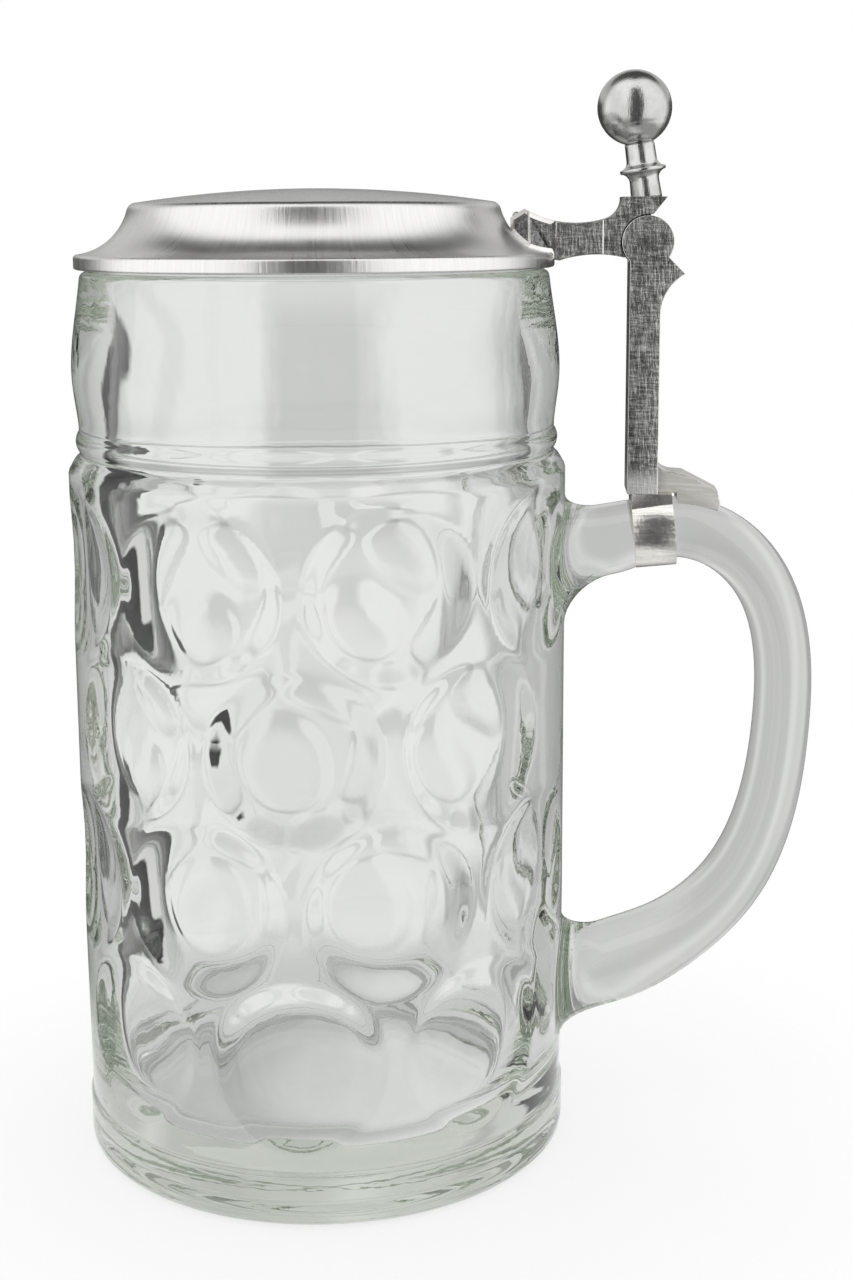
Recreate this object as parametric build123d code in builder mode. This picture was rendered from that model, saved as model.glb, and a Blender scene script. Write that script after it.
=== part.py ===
from build123d import *
import math
import os

# A one-litre dimpled glass stein with a hinged metal lid.
# Millimetres. Origin at the centre of the underside, +Z up, +X towards the handle,
# so the hinge pin lies along Y.

# ---- driving dimensions -------------------------------------------------------
# glass body
GLASS_H = 202.0            # underside to rim
BODY_R = 56.1              # outer radius over the ridges between the dimples
FOOT_R = 56.3              # outer radius of the foot ring
FOOT_H = 11.5              # height of the mould step above the foot ring
FOOT_STEP = 0.3            # how far the wall stands inside the mould step
FOOT_STEP_H = 1.2
BASE_FACE_R = 53.6         # radius of the flat that the mug stands on
UPRIGHT_Z = (60.0, 130.0)  # the wall is upright between these heights
SHOULDER_IN = (0.5, 1.6)   # how far the wall has come in, just under and at the shoulder
SHOULDER_Z = 160.6         # top of the dimpled zone
GROOVE_Z = 162.2           # sharp groove under the fill-line bead
BEAD_TOP_Z = 167.2         # top edge of the fill-line bead
NECK_R = 53.5              # outer radius of the neck, at the bead's two edges
BEAD_OUT = 0.7             # how far the bead stands out from the neck
GROOVE_IN = 0.2
BARREL_R = 54.6            # widest part of the smooth band above the bead
BARREL_Z = 178.0
RIM_OUT_R = 52.3
RIM_IN_R = 48.2
RIM_ROUND = 1.6
CAVITY_TOP_R = 46.5        # inner radius of the smooth band
CAVITY_R = 47.6            # inner radius behind the dimpled zone
FLOOR_Z = 13.5             # top of the thick glass base
FLOOR_CORNER = 9.0
TOP_CUT = 1.0              # how far the cavity is cut past the rim

# dimples: four staggered rows, left out where the handle roots and the mould seam are
DIMPLE_ROWS_Z = (137.6, 104.0, 70.2, 36.5)
DIMPLE_ANGLES = ((25.5, 68.5, 111.5, 154.5), (47.0, 90.0, 133.0))
DIMPLE_R = 18.6            # radius of a dimple's outline, measured on the wall
DIMPLE_DEPTH = 3.6
BUMP_R = 14.5              # each dimple pushes a softer bump into the cavity
BUMP_DEPTH = 2.0
DIMPLE_CUT = 6.0           # how far the dimple's cutter goes on past the wall
BUMP_CUT = 5.0

# handle: points along its centre line as (x, z, half thickness, half width)
HANDLE_POINTS = (
    (50.0, 134.6, 20.0, 13.0),
    (56.6, 136.6, 14.2, 11.2),
    (63.5, 140.3, 8.6, 8.9),
    (76.0, 143.7, 7.2, 8.5),
    (89.5, 142.2, 6.9, 8.5),
    (100.6, 132.2, 6.6, 8.5),
    (105.8, 116.0, 6.5, 8.5),
    (106.0, 98.0, 6.6, 8.5),
    (103.3, 79.0, 6.9, 8.5),
    (95.6, 60.6, 7.5, 8.5),
    (81.5, 46.9, 8.6, 8.7),
    (66.0, 39.4, 10.0, 9.4),
    (57.0, 36.6, 15.0, 11.2),
    (50.0, 35.6, 21.0, 13.0),
)

# lid shell, pressed from sheet
SHEET = 0.9
BRIM_R = 53.4
BRIM_Z = 202.5             # underside of the brim, just clear of the glass rim
BRIM_H = 3.2
HEM_IN_R = 46.0            # inner edge of the hem turned under the brim
SHOULDER_R = 41.4
LID_SHOULDER_Z = 216.6
LID_TOP_Z = 219.8
BRIM_EDGE = 0.4            # bevel along the brim's lower edge
BRIM_ROUND = 0.6           # rounding along its upper edge
LID_SEAT_DEPTH = 4.0       # how far the lid's envelope goes on below the brim

# hinge
PIN_X = 73.7
PIN_Z = 207.9
METAL_HALF_Y = 7.0         # half depth of the post and the arm
KNUCKLE_R = 5.7
KNUCKLE_GAP = 0.3
CHEEK_IN_Y = 2.9           # inner face of each cheek of the post
PIN_R = 1.5
PIN_CLEAR = 0.05
PIN_HALF_L = 5.2
PIN_BEVEL = 0.3
PLUG_R = 2.1

# post, band and rest
POST_LEFT_X = 69.8
POST_RIGHT_X = 76.6
POST_FOOT_Z = 152.4
BAND_X = (71.4, 80.7)
BAND_HALF_L = 4.6
BAND_THICK = 1.4
REST_HALF_Y = 4.6

# thumb rest
STEM_BASE = (73.5, 217.6)
BALL_C = (70.65, 236.7)
BALL_R = 8.15
STEM_R = 3.35
COLLAR_R = 5.0
COLLAR_HALF_T = 0.35
COLLAR_AT = 5.9            # distance of the collar along the stem

os.makedirs("parts", exist_ok=True)


def write(part, name):
    part.label = name
    export_step(part, f"parts/{name}.step")


# ---- glass mug ----------------------------------------------------------------
def barrel_cutter(reach_r, outline_r, depth, outwards):
    """Wedge of a wide barrel that touches a wall of radius reach_r in a round dimple."""
    half_turn = outline_r / reach_r
    fall = reach_r * (1 - math.cos(half_turn))
    chord = reach_r * math.sin(half_turn)
    upright_r = (outline_r**2 + depth**2) / (2 * depth)
    across_r = (chord**2 + (depth - fall)**2) / (2 * abs(depth - fall))
    tip_x = reach_r - depth
    back_x = tip_x + outwards
    half_h = math.sqrt(upright_r**2 - (upright_r - outwards)**2)
    side = 1 if depth > fall else -1
    wedge = math.degrees(math.asin((chord + outwards) / across_r))
    hub = Axis((tip_x + side * across_r, 0, 0), (0, 0, 1))
    with BuildPart() as cutter:
        with BuildSketch(Plane.XZ):
            with BuildLine():
                ThreePointArc((back_x, -half_h), (tip_x, 0), (back_x, half_h))
                Line((back_x, half_h), (back_x, -half_h))
            make_face()
        revolve(axis=hub, revolution_arc=wedge)
        mirror(about=Plane.XZ)
    return cutter.part


def dimple_places():
    """One location for every dimple, both sides of the handle's plane."""
    places = []
    for row, height in enumerate(DIMPLE_ROWS_Z):
        for angle in DIMPLE_ANGLES[row % 2]:
            places.append(Location((0, 0, height), (0, 0, angle)))
            places.append(Location((0, 0, height), (0, 0, -angle)))
    return places


outer_dimple = barrel_cutter(BODY_R, DIMPLE_R, DIMPLE_DEPTH, DIMPLE_CUT)
inner_bump = barrel_cutter(CAVITY_R, BUMP_R, BUMP_DEPTH, BUMP_CUT)
CAVITY_NARROWS_Z = SHOULDER_Z - 4
CAVITY_MOUTH = (RIM_IN_R, GLASS_H + TOP_CUT)

with BuildPart() as cavity:
    with BuildSketch(Plane.XZ):
        with BuildLine():
            Line((0, FLOOR_Z), (CAVITY_R - FLOOR_CORNER, FLOOR_Z))
            RadiusArc(
                (CAVITY_R - FLOOR_CORNER, FLOOR_Z),
                (CAVITY_R, FLOOR_Z + FLOOR_CORNER),
                -FLOOR_CORNER,
            )
            Line((CAVITY_R, FLOOR_Z + FLOOR_CORNER), (CAVITY_R, CAVITY_NARROWS_Z))
            Spline(
                (CAVITY_R, CAVITY_NARROWS_Z),
                (CAVITY_TOP_R, BEAD_TOP_Z + 2),
                (CAVITY_TOP_R + 0.3, GLASS_H - 12),
                CAVITY_MOUTH,
                tangents=((0, 1), (0.25, 1)),
            )
            Line(CAVITY_MOUTH, (0, CAVITY_MOUTH[1]))
            Line((0, CAVITY_MOUTH[1]), (0, FLOOR_Z))
        make_face()
    revolve(axis=Axis.Z)
    with Locations(*dimple_places()):
        add(inner_bump, mode=Mode.SUBTRACT)

FOOT_ROUND = FOOT_R - BASE_FACE_R
STEP_TOP = (BODY_R - FOOT_STEP, FOOT_H + FOOT_STEP_H)
SHOULDER = (BODY_R - SHOULDER_IN[1], SHOULDER_Z)
GROOVE = (NECK_R - GROOVE_IN, GROOVE_Z)
BEAD_MID = (NECK_R + BEAD_OUT, (GROOVE_Z + BEAD_TOP_Z) / 2)
BEAD_TOP = (NECK_R - 0.1, BEAD_TOP_Z)

with BuildPart() as glass_body:
    with BuildSketch(Plane.XZ):
        with BuildLine():
            Line((0, 0), (BASE_FACE_R, 0))
            RadiusArc((BASE_FACE_R, 0), (FOOT_R, FOOT_ROUND), -FOOT_ROUND)
            Line((FOOT_R, FOOT_ROUND), (FOOT_R, FOOT_H))
            Line((FOOT_R, FOOT_H), STEP_TOP)
            Line(STEP_TOP, (BODY_R, UPRIGHT_Z[0]))
            Line((BODY_R, UPRIGHT_Z[0]), (BODY_R, UPRIGHT_Z[1]))
            Spline(
                (BODY_R, UPRIGHT_Z[1]),
                (BODY_R - SHOULDER_IN[0], SHOULDER_Z - 5),
                SHOULDER,
                tangents=((0, 1), (-0.8, 1)),
            )
            Line(SHOULDER, GROOVE)
            ThreePointArc(GROOVE, BEAD_MID, BEAD_TOP)
            Spline(
                BEAD_TOP,
                (BARREL_R, BARREL_Z),
                (RIM_OUT_R, GLASS_H - RIM_ROUND),
                tangents=((0.1, 1), (-0.12, 1)),
            )
            RadiusArc((RIM_OUT_R, GLASS_H - RIM_ROUND), (RIM_OUT_R - RIM_ROUND, GLASS_H), -RIM_ROUND)
            Line((RIM_OUT_R - RIM_ROUND, GLASS_H), (0, GLASS_H))
            Line((0, GLASS_H), (0, 0))
        make_face()
    revolve(axis=Axis.Z)
    with Locations(*dimple_places()):
        add(outer_dimple, mode=Mode.SUBTRACT)

handle_centres = [(x, 0, z) for x, z, half_t, half_w in HANDLE_POINTS]
handle_path = Spline(*handle_centres, tangents=((1, 0, 0.1), (-1, 0, -0.1)))

RING_POINTS = 8


def oval(half_w, half_t):
    """Points round an oval, always from the same side, so that a loft doesn't twist."""
    turns = [2 * math.pi * step / RING_POINTS for step in range(RING_POINTS)]
    return [(half_w * math.cos(turn), half_t * math.sin(turn)) for turn in turns]


with BuildPart() as handle:
    for centre, (x, z, half_t, half_w) in zip(handle_centres, HANDLE_POINTS):
        share = handle_path.param_at_point(centre)
        with BuildSketch(Plane(origin=centre, x_dir=(0, 1, 0), z_dir=handle_path % share)):
            with BuildLine():
                Spline(*oval(half_w, half_t), periodic=True)
            make_face()
    loft()

with BuildPart() as glass_mug:
    add(glass_body.part)
    add(handle.part)
    add(cavity.part, mode=Mode.SUBTRACT)

write(glass_mug.part, "glass_mug")

# ---- lid shell ----------------------------------------------------------------
BRIM_TOP_Z = BRIM_Z + BRIM_H
BRIM_ROUND_FOOT = (BRIM_R, BRIM_TOP_Z - BRIM_ROUND)
BRIM_ROUND_MID = (BRIM_R - 0.3 * BRIM_ROUND, BRIM_TOP_Z - 0.3 * BRIM_ROUND)
HOLLOW_R = BRIM_R - SHEET
SLOPE_FOOT = (BRIM_R - BRIM_ROUND, BRIM_TOP_Z)
SLOPE_MID = (45.0, 209.3)
SLOPE_HEAD = (SHOULDER_R, LID_SHOULDER_Z - 1.3)
CREST = (SHOULDER_R - 1.4, LID_SHOULDER_Z + 0.1)
CREST_DROP = LID_TOP_Z - CREST[1]
DOME_R = (CREST[0]**2 + CREST_DROP**2) / (2 * CREST_DROP)
DOME_CENTRE_Z = LID_TOP_Z - DOME_R


def lid_skin(drop):
    """Top line of the lid from the brim to the centre, lowered by the sheet's thickness."""
    shrink = (DOME_R - drop) / DOME_R
    foot = (SLOPE_FOOT[0] - 0.5 * drop, SLOPE_FOOT[1] - drop)
    slope = (SLOPE_MID[0] - 0.7 * drop, SLOPE_MID[1] - 0.7 * drop)
    head = (SLOPE_HEAD[0] - drop, SLOPE_HEAD[1] - 0.3 * drop)
    crest = (CREST[0] * shrink, DOME_CENTRE_Z + (CREST[1] - DOME_CENTRE_Z) * shrink)
    bend = ((head[0] + crest[0]) / 2 + 0.2, (head[1] + crest[1]) / 2 + 0.25)
    ThreePointArc(foot, slope, head)
    ThreePointArc(head, bend, crest)
    half_span = math.asin(crest[0] / (DOME_R - drop)) / 2
    mid_dome = (
        (DOME_R - drop) * math.sin(half_span),
        DOME_CENTRE_Z + (DOME_R - drop) * math.cos(half_span),
    )
    ThreePointArc(crest, mid_dome, (0, LID_TOP_Z - drop))
    return foot


with BuildPart() as lid_shell:
    with BuildSketch(Plane.XZ):
        with BuildLine():
            outer_foot = lid_skin(0)
            Line((0, LID_TOP_Z), (0, LID_TOP_Z - SHEET))
            inner_foot = lid_skin(SHEET)
            Line(inner_foot, (HOLLOW_R, inner_foot[1] - BRIM_EDGE))
            Line((HOLLOW_R, inner_foot[1] - BRIM_EDGE), (HOLLOW_R, BRIM_Z + SHEET))
            Line((HOLLOW_R, BRIM_Z + SHEET), (HEM_IN_R, BRIM_Z + SHEET))
            Line((HEM_IN_R, BRIM_Z + SHEET), (HEM_IN_R, BRIM_Z))
            Line((HEM_IN_R, BRIM_Z), (BRIM_R - BRIM_EDGE, BRIM_Z))
            Line((BRIM_R - BRIM_EDGE, BRIM_Z), (BRIM_R, BRIM_Z + BRIM_EDGE))
            Line((BRIM_R, BRIM_Z + BRIM_EDGE), BRIM_ROUND_FOOT)
            ThreePointArc(BRIM_ROUND_FOOT, BRIM_ROUND_MID, outer_foot)
        make_face()
    revolve(axis=Axis.Z)

write(lid_shell.part, "lid_shell")

# the room that the lid takes up, for seating the arm's tongue on it
ENVELOPE_Z = BRIM_Z - LID_SEAT_DEPTH

with BuildPart() as lid_envelope:
    with BuildSketch(Plane.XZ):
        with BuildLine():
            foot = lid_skin(0)
            Line((0, LID_TOP_Z), (0, ENVELOPE_Z))
            Line((0, ENVELOPE_Z), (BRIM_R, ENVELOPE_Z))
            Line((BRIM_R, ENVELOPE_Z), BRIM_ROUND_FOOT)
            ThreePointArc(BRIM_ROUND_FOOT, BRIM_ROUND_MID, foot)
        make_face()
    revolve(axis=Axis.Z)

# ---- hinge pin and its plugs ----------------------------------------------------
PIN_PLANE = Plane(origin=(PIN_X, 0, PIN_Z), x_dir=(1, 0, 0), z_dir=(0, 1, 0))

with BuildPart() as hinge_pin:
    with BuildSketch(PIN_PLANE):
        Circle(PIN_R)
    extrude(amount=PIN_HALF_L, both=True)
    chamfer(hinge_pin.edges().filter_by(GeomType.CIRCLE), PIN_BEVEL)

write(hinge_pin.part, "hinge_pin")

PLUG_SIDES = {"hinge_plug_front": -1, "hinge_plug_back": 1}
for plug_name, side in PLUG_SIDES.items():
    with BuildPart() as hinge_plug:
        with BuildSketch(PIN_PLANE.offset(side * PIN_HALF_L)):
            Circle(PLUG_R)
        extrude(amount=side * (METAL_HALF_Y - PIN_HALF_L))
    write(hinge_plug.part, plug_name)

# ---- hinge post -------------------------------------------------------------------
# a stop behind the knuckles, which the open lid leans on
STOP_FOOT = (77.1, 205.9)
STOP_ROOT = (78.6, 204.3)
STOP_TIP = (81.9, 201.0)
STOP_CURVE = (78.1, 197.3)
STOP_END = (POST_RIGHT_X, 191.4)

with BuildPart() as hinge_post:
    with BuildSketch(Plane.XZ) as post_side:
        with BuildLine():
            Line((POST_LEFT_X, POST_FOOT_Z), (POST_LEFT_X, STOP_FOOT[1]))
            Line((POST_LEFT_X, STOP_FOOT[1]), STOP_FOOT)
            Line(STOP_FOOT, STOP_ROOT)
            Line(STOP_ROOT, STOP_TIP)
            ThreePointArc(STOP_TIP, STOP_CURVE, STOP_END)
            Line(STOP_END, (POST_RIGHT_X, POST_FOOT_Z))
            Line((POST_RIGHT_X, POST_FOOT_Z), (POST_LEFT_X, POST_FOOT_Z))
        make_face()
        with Locations((PIN_X, PIN_Z)):
            Circle(KNUCKLE_R)
    extrude(amount=METAL_HALF_Y, both=True)
    # slot between the two cheeks, for the arm's middle knuckle
    with BuildSketch(PIN_PLANE):
        Circle(KNUCKLE_R + KNUCKLE_GAP)
    extrude(amount=CHEEK_IN_Y, both=True, mode=Mode.SUBTRACT)
    with BuildSketch(PIN_PLANE):
        Circle(PIN_R)
    extrude(amount=METAL_HALF_Y, both=True, mode=Mode.SUBTRACT)
    for side in (-1, 1):
        with BuildSketch(PIN_PLANE.offset(side * PIN_HALF_L)):
            Circle(PLUG_R)
        extrude(amount=side * METAL_HALF_Y, mode=Mode.SUBTRACT)

write(hinge_post.part, "hinge_post")

# ---- lid arm --------------------------------------------------------------------
# side view, round from the lid's brim to the tongue's tip
ARM_SEAT = (54.4, 203.9)
ARM_BELLY = (61.5, 205.2)
ARM_HEEL = (68.6, 204.5)
SPUR_IN = (74.4, 213.4)
SPUR_TIP = (77.8, 217.6)
ARM_TOP = (67.9, 217.6)
ARM_BREAST = (67.0, 214.6)
ARM_NECK = (64.2, 212.8)
TONGUE_HOLLOW = (56.0, 212.1)
TONGUE_PEAK = (46.6, 215.1)
TONGUE_TIP = (43.6, 213.2)
TONGUE_FOOT = (43.6, 206.0)
# plan view, as far as the plane of symmetry
TONGUE_PLAN = ((43.0, 0), (43.0, 4.6), (47.6, 8.8), (53.5, 6.1), (64.0, METAL_HALF_Y))
ARM_END_X = 82.0
ARM_BLANK_Y = METAL_HALF_Y + 3   # half depth of the blank, before the plan view is cut
TIP_BEAD = (44.9, 213.6)
TIP_BEAD_R = 0.9
# the web that joins the middle knuckle to the arm, from the pin round to the pin
WEB_POINTS = ((0, 0), (-7.5, -2.7), (-7.5, 4), (-4, 7.5), (0.9, 7.0), (0, 0))

with BuildPart() as lid_arm:
    with BuildSketch(Plane.XZ):
        with BuildLine():
            ThreePointArc(ARM_SEAT, ARM_BELLY, ARM_HEEL)
            Line(ARM_HEEL, (PIN_X, PIN_Z))
            Line((PIN_X, PIN_Z), SPUR_IN)
            Line(SPUR_IN, SPUR_TIP)
            Line(SPUR_TIP, ARM_TOP)
            ThreePointArc(ARM_TOP, ARM_BREAST, ARM_NECK)
            ThreePointArc(ARM_NECK, TONGUE_HOLLOW, TONGUE_PEAK)
            Line(TONGUE_PEAK, TONGUE_TIP)
            Line(TONGUE_TIP, TONGUE_FOOT)
            Line(TONGUE_FOOT, ARM_SEAT)
        make_face()
    extrude(amount=ARM_BLANK_Y, both=True)
    # plan view: full depth at the hinge, a waist, and a flared tongue on the lid
    with BuildSketch(Plane.XY.offset(BRIM_Z - 5)):
        with BuildLine():
            tongue = Polyline(*TONGUE_PLAN, (ARM_END_X, METAL_HALF_Y), (ARM_END_X, 0))
            mirror(tongue, about=Plane.XZ)
        make_face()
    extrude(amount=30, mode=Mode.INTERSECT)
    # room for the cheeks on both sides of the middle knuckle
    with BuildSketch(PIN_PLANE):
        Circle(KNUCKLE_R + KNUCKLE_GAP)
    extrude(amount=ARM_BLANK_Y, both=True, mode=Mode.SUBTRACT)
    with BuildSketch(PIN_PLANE):
        Circle(KNUCKLE_R)
    extrude(amount=CHEEK_IN_Y - KNUCKLE_GAP, both=True)
    with BuildSketch(Plane.XZ):
        with BuildLine():
            Polyline(*[(PIN_X + x, PIN_Z + z) for x, z in WEB_POINTS])
        make_face()
    extrude(amount=CHEEK_IN_Y - KNUCKLE_GAP, both=True)
    with BuildSketch(PIN_PLANE):
        Circle(PIN_R + PIN_CLEAR)
    extrude(amount=METAL_HALF_Y, both=True, mode=Mode.SUBTRACT)
    add(lid_envelope.part, mode=Mode.SUBTRACT)
    # cast bead that ends the tongue
    with Locations((TIP_BEAD[0], 0, TIP_BEAD[1])):
        Sphere(TIP_BEAD_R)

write(lid_arm.part, "lid_arm")

# ---- thumb rest -----------------------------------------------------------------
lean_x = BALL_C[0] - STEM_BASE[0]
lean_z = BALL_C[1] - STEM_BASE[1]
STEM_PLANE = Plane(
    origin=(STEM_BASE[0], 0, STEM_BASE[1]), x_dir=(0, 1, 0), z_dir=(lean_x, 0, lean_z)
)
STEM_ACROSS = STEM_PLANE.x_dir.cross(STEM_PLANE.z_dir)
STEM_SIDE = Plane(origin=STEM_PLANE.origin, x_dir=(0, 1, 0), z_dir=STEM_ACROSS)
BALL_AT = math.hypot(lean_x, lean_z)
# distances along the stem; it starts below its seat, where it is cut off level
STEM_START = -1.0
STEM_END = BALL_AT - 5
COLLAR_FOOT = (STEM_R - 0.1, COLLAR_AT - 2.2)
COLLAR_HEAD = (STEM_R, COLLAR_AT + 2.0)
COLLAR_LOWER = (COLLAR_R, COLLAR_AT - COLLAR_HALF_T)
COLLAR_UPPER = (COLLAR_R, COLLAR_AT + COLLAR_HALF_T)

with BuildPart() as thumb_stem:
    with BuildSketch(STEM_SIDE):
        with BuildLine():
            Line((0, STEM_START), (STEM_R + 0.1, STEM_START))
            Line((STEM_R + 0.1, STEM_START), COLLAR_FOOT)
            RadiusArc(COLLAR_FOOT, COLLAR_LOWER, 2.3)
            Line(COLLAR_LOWER, COLLAR_UPPER)
            RadiusArc(COLLAR_UPPER, COLLAR_HEAD, 2.2)
            Line(COLLAR_HEAD, (STEM_R - 0.1, STEM_END))
            Line((STEM_R - 0.1, STEM_END), (0, STEM_END))
            Line((0, STEM_END), (0, STEM_START))
        make_face()
    revolve(axis=Axis(STEM_PLANE.origin, STEM_PLANE.z_dir))
    with Locations((BALL_C[0], 0, BALL_C[1])):
        Sphere(BALL_R, mode=Mode.SUBTRACT)
    with BuildSketch(Plane.XY.offset(STEM_BASE[1])):
        with Locations((STEM_BASE[0], 0)):
            Rectangle(20, 20)
    extrude(amount=-5, mode=Mode.SUBTRACT)

write(thumb_stem.part, "thumb_stem")

with BuildPart() as thumb_ball:
    with Locations((BALL_C[0], 0, BALL_C[1])):
        Sphere(BALL_R)

write(thumb_ball.part, "thumb_ball")

# ---- handle band and rest ---------------------------------------------------------
SADDLE_DEPTH = 6.0
BAND_MID = (76.0, 143.7)
BAND_ALONG = (13.0, 0, 1.2)      # the handle's direction under the band
BAND_HALF_T = 7.2
BAND_HALF_W = 8.5
SADDLE_X = (BAND_X[0] + BAND_X[1]) / 2 - 0.5
BAND_CORNER = 1.4
BAND_PLANE = Plane(origin=(BAND_MID[0], 0, BAND_MID[1]), x_dir=(0, 1, 0), z_dir=BAND_ALONG)
BAND_SIDE = Plane(origin=BAND_PLANE.origin, x_dir=BAND_ALONG, z_dir=(0, -1, 0))

with BuildPart() as handle_band:
    with BuildSketch(BAND_PLANE):
        Ellipse(BAND_HALF_W + BAND_THICK, BAND_HALF_T + BAND_THICK)
    extrude(amount=BAND_HALF_L, both=True)
    # flat saddle under the post's foot
    with BuildSketch(Plane.XY.offset(POST_FOOT_Z)):
        with Locations((SADDLE_X, 0)):
            Rectangle(BAND_X[1] - BAND_X[0], 2 * METAL_HALF_Y)
    extrude(amount=-SADDLE_DEPTH)
    with BuildSketch(BAND_SIDE):
        with Locations((0, 4)):
            band_side = Rectangle(2 * BAND_HALF_L, 2 * BAND_HALF_T + 12)
        fillet(band_side.vertices().group_by(Axis.Y)[0], BAND_CORNER)
    extrude(amount=20, both=True, mode=Mode.INTERSECT)
    with BuildSketch(Plane.XY.offset(POST_FOOT_Z)):
        with Locations((BAND_MID[0], 0)):
            Rectangle(40, 40)
    extrude(amount=8, mode=Mode.SUBTRACT)
    add(handle.part, mode=Mode.SUBTRACT)

write(handle_band.part, "handle_band")

# side view of the rest, from the post's back over its top and down to the handle
REST_AT_POST = (POST_RIGHT_X, 158.9)
REST_TOP = (80.2, 157.0)
REST_SIDE = (
    REST_TOP, (82.6, 156.8), (90.1, 152.9), (90.8, 149.6), (90.0, 146.0), (81.3, 146.0),
    (81.0, POST_FOOT_Z), (POST_RIGHT_X, POST_FOOT_Z), REST_AT_POST,
)

with BuildPart() as handle_rest:
    with BuildSketch(Plane.XZ):
        with BuildLine():
            ThreePointArc(REST_AT_POST, (78.3, 157.5), REST_TOP)
            Polyline(*REST_SIDE)
        make_face()
    extrude(amount=REST_HALF_Y, both=True)
    add(handle.part, mode=Mode.SUBTRACT)

write(handle_rest.part, "handle_rest")
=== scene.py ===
# %% [markdown]
# # A glass beer stein with a hinged metal lid
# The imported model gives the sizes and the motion. This lesson builds the finished looks
# around it: pressed glass with rows of dimples, a pressed steel lid, and a cast and sanded
# pewter hinge. Everything is in metres, with the mug standing on z = 0 and its handle
# towards +X.

# %% load the frame
import math
from contextlib import contextmanager

import bmesh
import bpy
import numpy as np
from mathutils import Matrix, Vector


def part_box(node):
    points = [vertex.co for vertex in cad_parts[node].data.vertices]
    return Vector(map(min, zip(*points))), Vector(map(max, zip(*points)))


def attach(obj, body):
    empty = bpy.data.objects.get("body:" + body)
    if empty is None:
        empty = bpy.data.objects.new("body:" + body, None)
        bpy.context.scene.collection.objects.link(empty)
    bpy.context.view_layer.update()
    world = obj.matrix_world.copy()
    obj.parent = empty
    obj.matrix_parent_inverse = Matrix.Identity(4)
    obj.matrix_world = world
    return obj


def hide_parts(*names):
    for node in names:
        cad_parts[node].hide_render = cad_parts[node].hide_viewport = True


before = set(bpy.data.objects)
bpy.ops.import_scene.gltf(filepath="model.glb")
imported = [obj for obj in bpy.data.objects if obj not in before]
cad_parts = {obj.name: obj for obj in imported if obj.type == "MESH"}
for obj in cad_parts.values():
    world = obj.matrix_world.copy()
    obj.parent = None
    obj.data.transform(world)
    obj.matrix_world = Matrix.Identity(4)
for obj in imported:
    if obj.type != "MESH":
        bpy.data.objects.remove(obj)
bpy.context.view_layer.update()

MM = 0.001

# %% [markdown]
# ## Camera
# The stein is seen from its side, with the handle to the right, from a little above the
# middle. A 55 mm lens at about 45 cm gives a gentle perspective: the base curves more
# than the rim does. The shift only centres the frame.

# %% camera
LENS_MM = 55.0
VIEW_FROM = Vector((0.0502, -0.4408, 0.2149))
VIEW_ALONG = Vector((-0.0554, 0.9813, -0.1845))
ROLL = 0.00496
SHIFT = (-0.0027, -0.049)

lens = bpy.data.cameras.new("side_camera")
lens.lens = LENS_MM
lens.sensor_width = 36.0
lens.shift_x, lens.shift_y = SHIFT
camera = bpy.data.objects.new("side_camera", lens)
bpy.context.scene.collection.objects.link(camera)
level = VIEW_ALONG.to_track_quat("-Z", "Y").to_matrix().to_4x4()
camera.matrix_world = Matrix.Translation(VIEW_FROM) @ level @ Matrix.Rotation(-ROLL, 4, "Z")
bpy.context.scene.camera = camera
print("camera at", tuple(round(v, 3) for v in VIEW_FROM))

# %% [markdown]
# ## Small tools for node trees
# Shader trees and Geometry Nodes trees are both built from the same two moves: add a
# node, then give each of its inputs either a plain value or another node's output.
# `add` does both at once. `calc`, `fade` and `blend` are short forms for the nodes that
# turn up most: a Math node, a smooth step, and a choice between two values.

# %% node helpers
def add(tree, kind, inputs=None, **settings):
    """Adds a node; inputs maps an input's name or number to a value or to an output."""
    node = tree.nodes.new(kind)
    for name, value in settings.items():
        setattr(node, name, value)
    for key, value in (inputs or {}).items():
        if isinstance(value, bpy.types.NodeSocket):
            tree.links.new(value, node.inputs[key])
        else:
            node.inputs[key].default_value = value
    return node


def calc(tree, operation, *values):
    """One Math node: values are numbers or outputs."""
    return add(tree, "ShaderNodeMath", dict(enumerate(values)), operation=operation).outputs[0]


def fade(tree, value, start, end, low=0.0, high=1.0):
    """A smooth step from low at start to high at end."""
    settings = {"Value": value, "From Min": start, "From Max": end, "To Min": low, "To Max": high}
    node = add(tree, "ShaderNodeMapRange", settings, interpolation_type="SMOOTHSTEP")
    return node.outputs["Result"]


def blend(tree, share, low, high):
    """A value between low, at share 0, and high, at share 1."""
    return add(tree, "ShaderNodeMix", {0: share, 2: low, 3: high}).outputs[0]


def group_tree(name, kind, takes, gives):
    """An empty node group with named inputs and outputs, and its two end nodes."""
    tree = bpy.data.node_groups.new(name, kind)
    for label, socket_type, value in takes:
        socket = tree.interface.new_socket(label, in_out="INPUT", socket_type=socket_type)
        if value is not None:
            socket.default_value = value
    for label, socket_type in gives:
        tree.interface.new_socket(label, in_out="OUTPUT", socket_type=socket_type)
    return tree, tree.nodes.new("NodeGroupInput"), tree.nodes.new("NodeGroupOutput")


print("node helpers ready")

# %% [markdown]
# ## Studio
# Clear glass and polished metal have no look of their own: they show the room. The room
# here is a light tent of white cloth, and each kind of ray meets its own view of it. Seen
# directly it is white. Through both walls of the mug it is a bright backdrop between two
# grey wings, with black cards on the left and a weaker one on the right, which draw the
# dark lines that give glass its edges. Solid glass shows soft stripes. The metal shows a
# dark backdrop with a grey strip high up, a long softbox on each side of the camera with
# a dark gap between them, and a grey floor.
# All of it is worked out from the direction of a ray, so it stands still in the room
# when the camera moves. Glass bends light many times before it leaves, so the bounces
# are many: with few of them, black patches stay where the light is caught.

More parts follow.
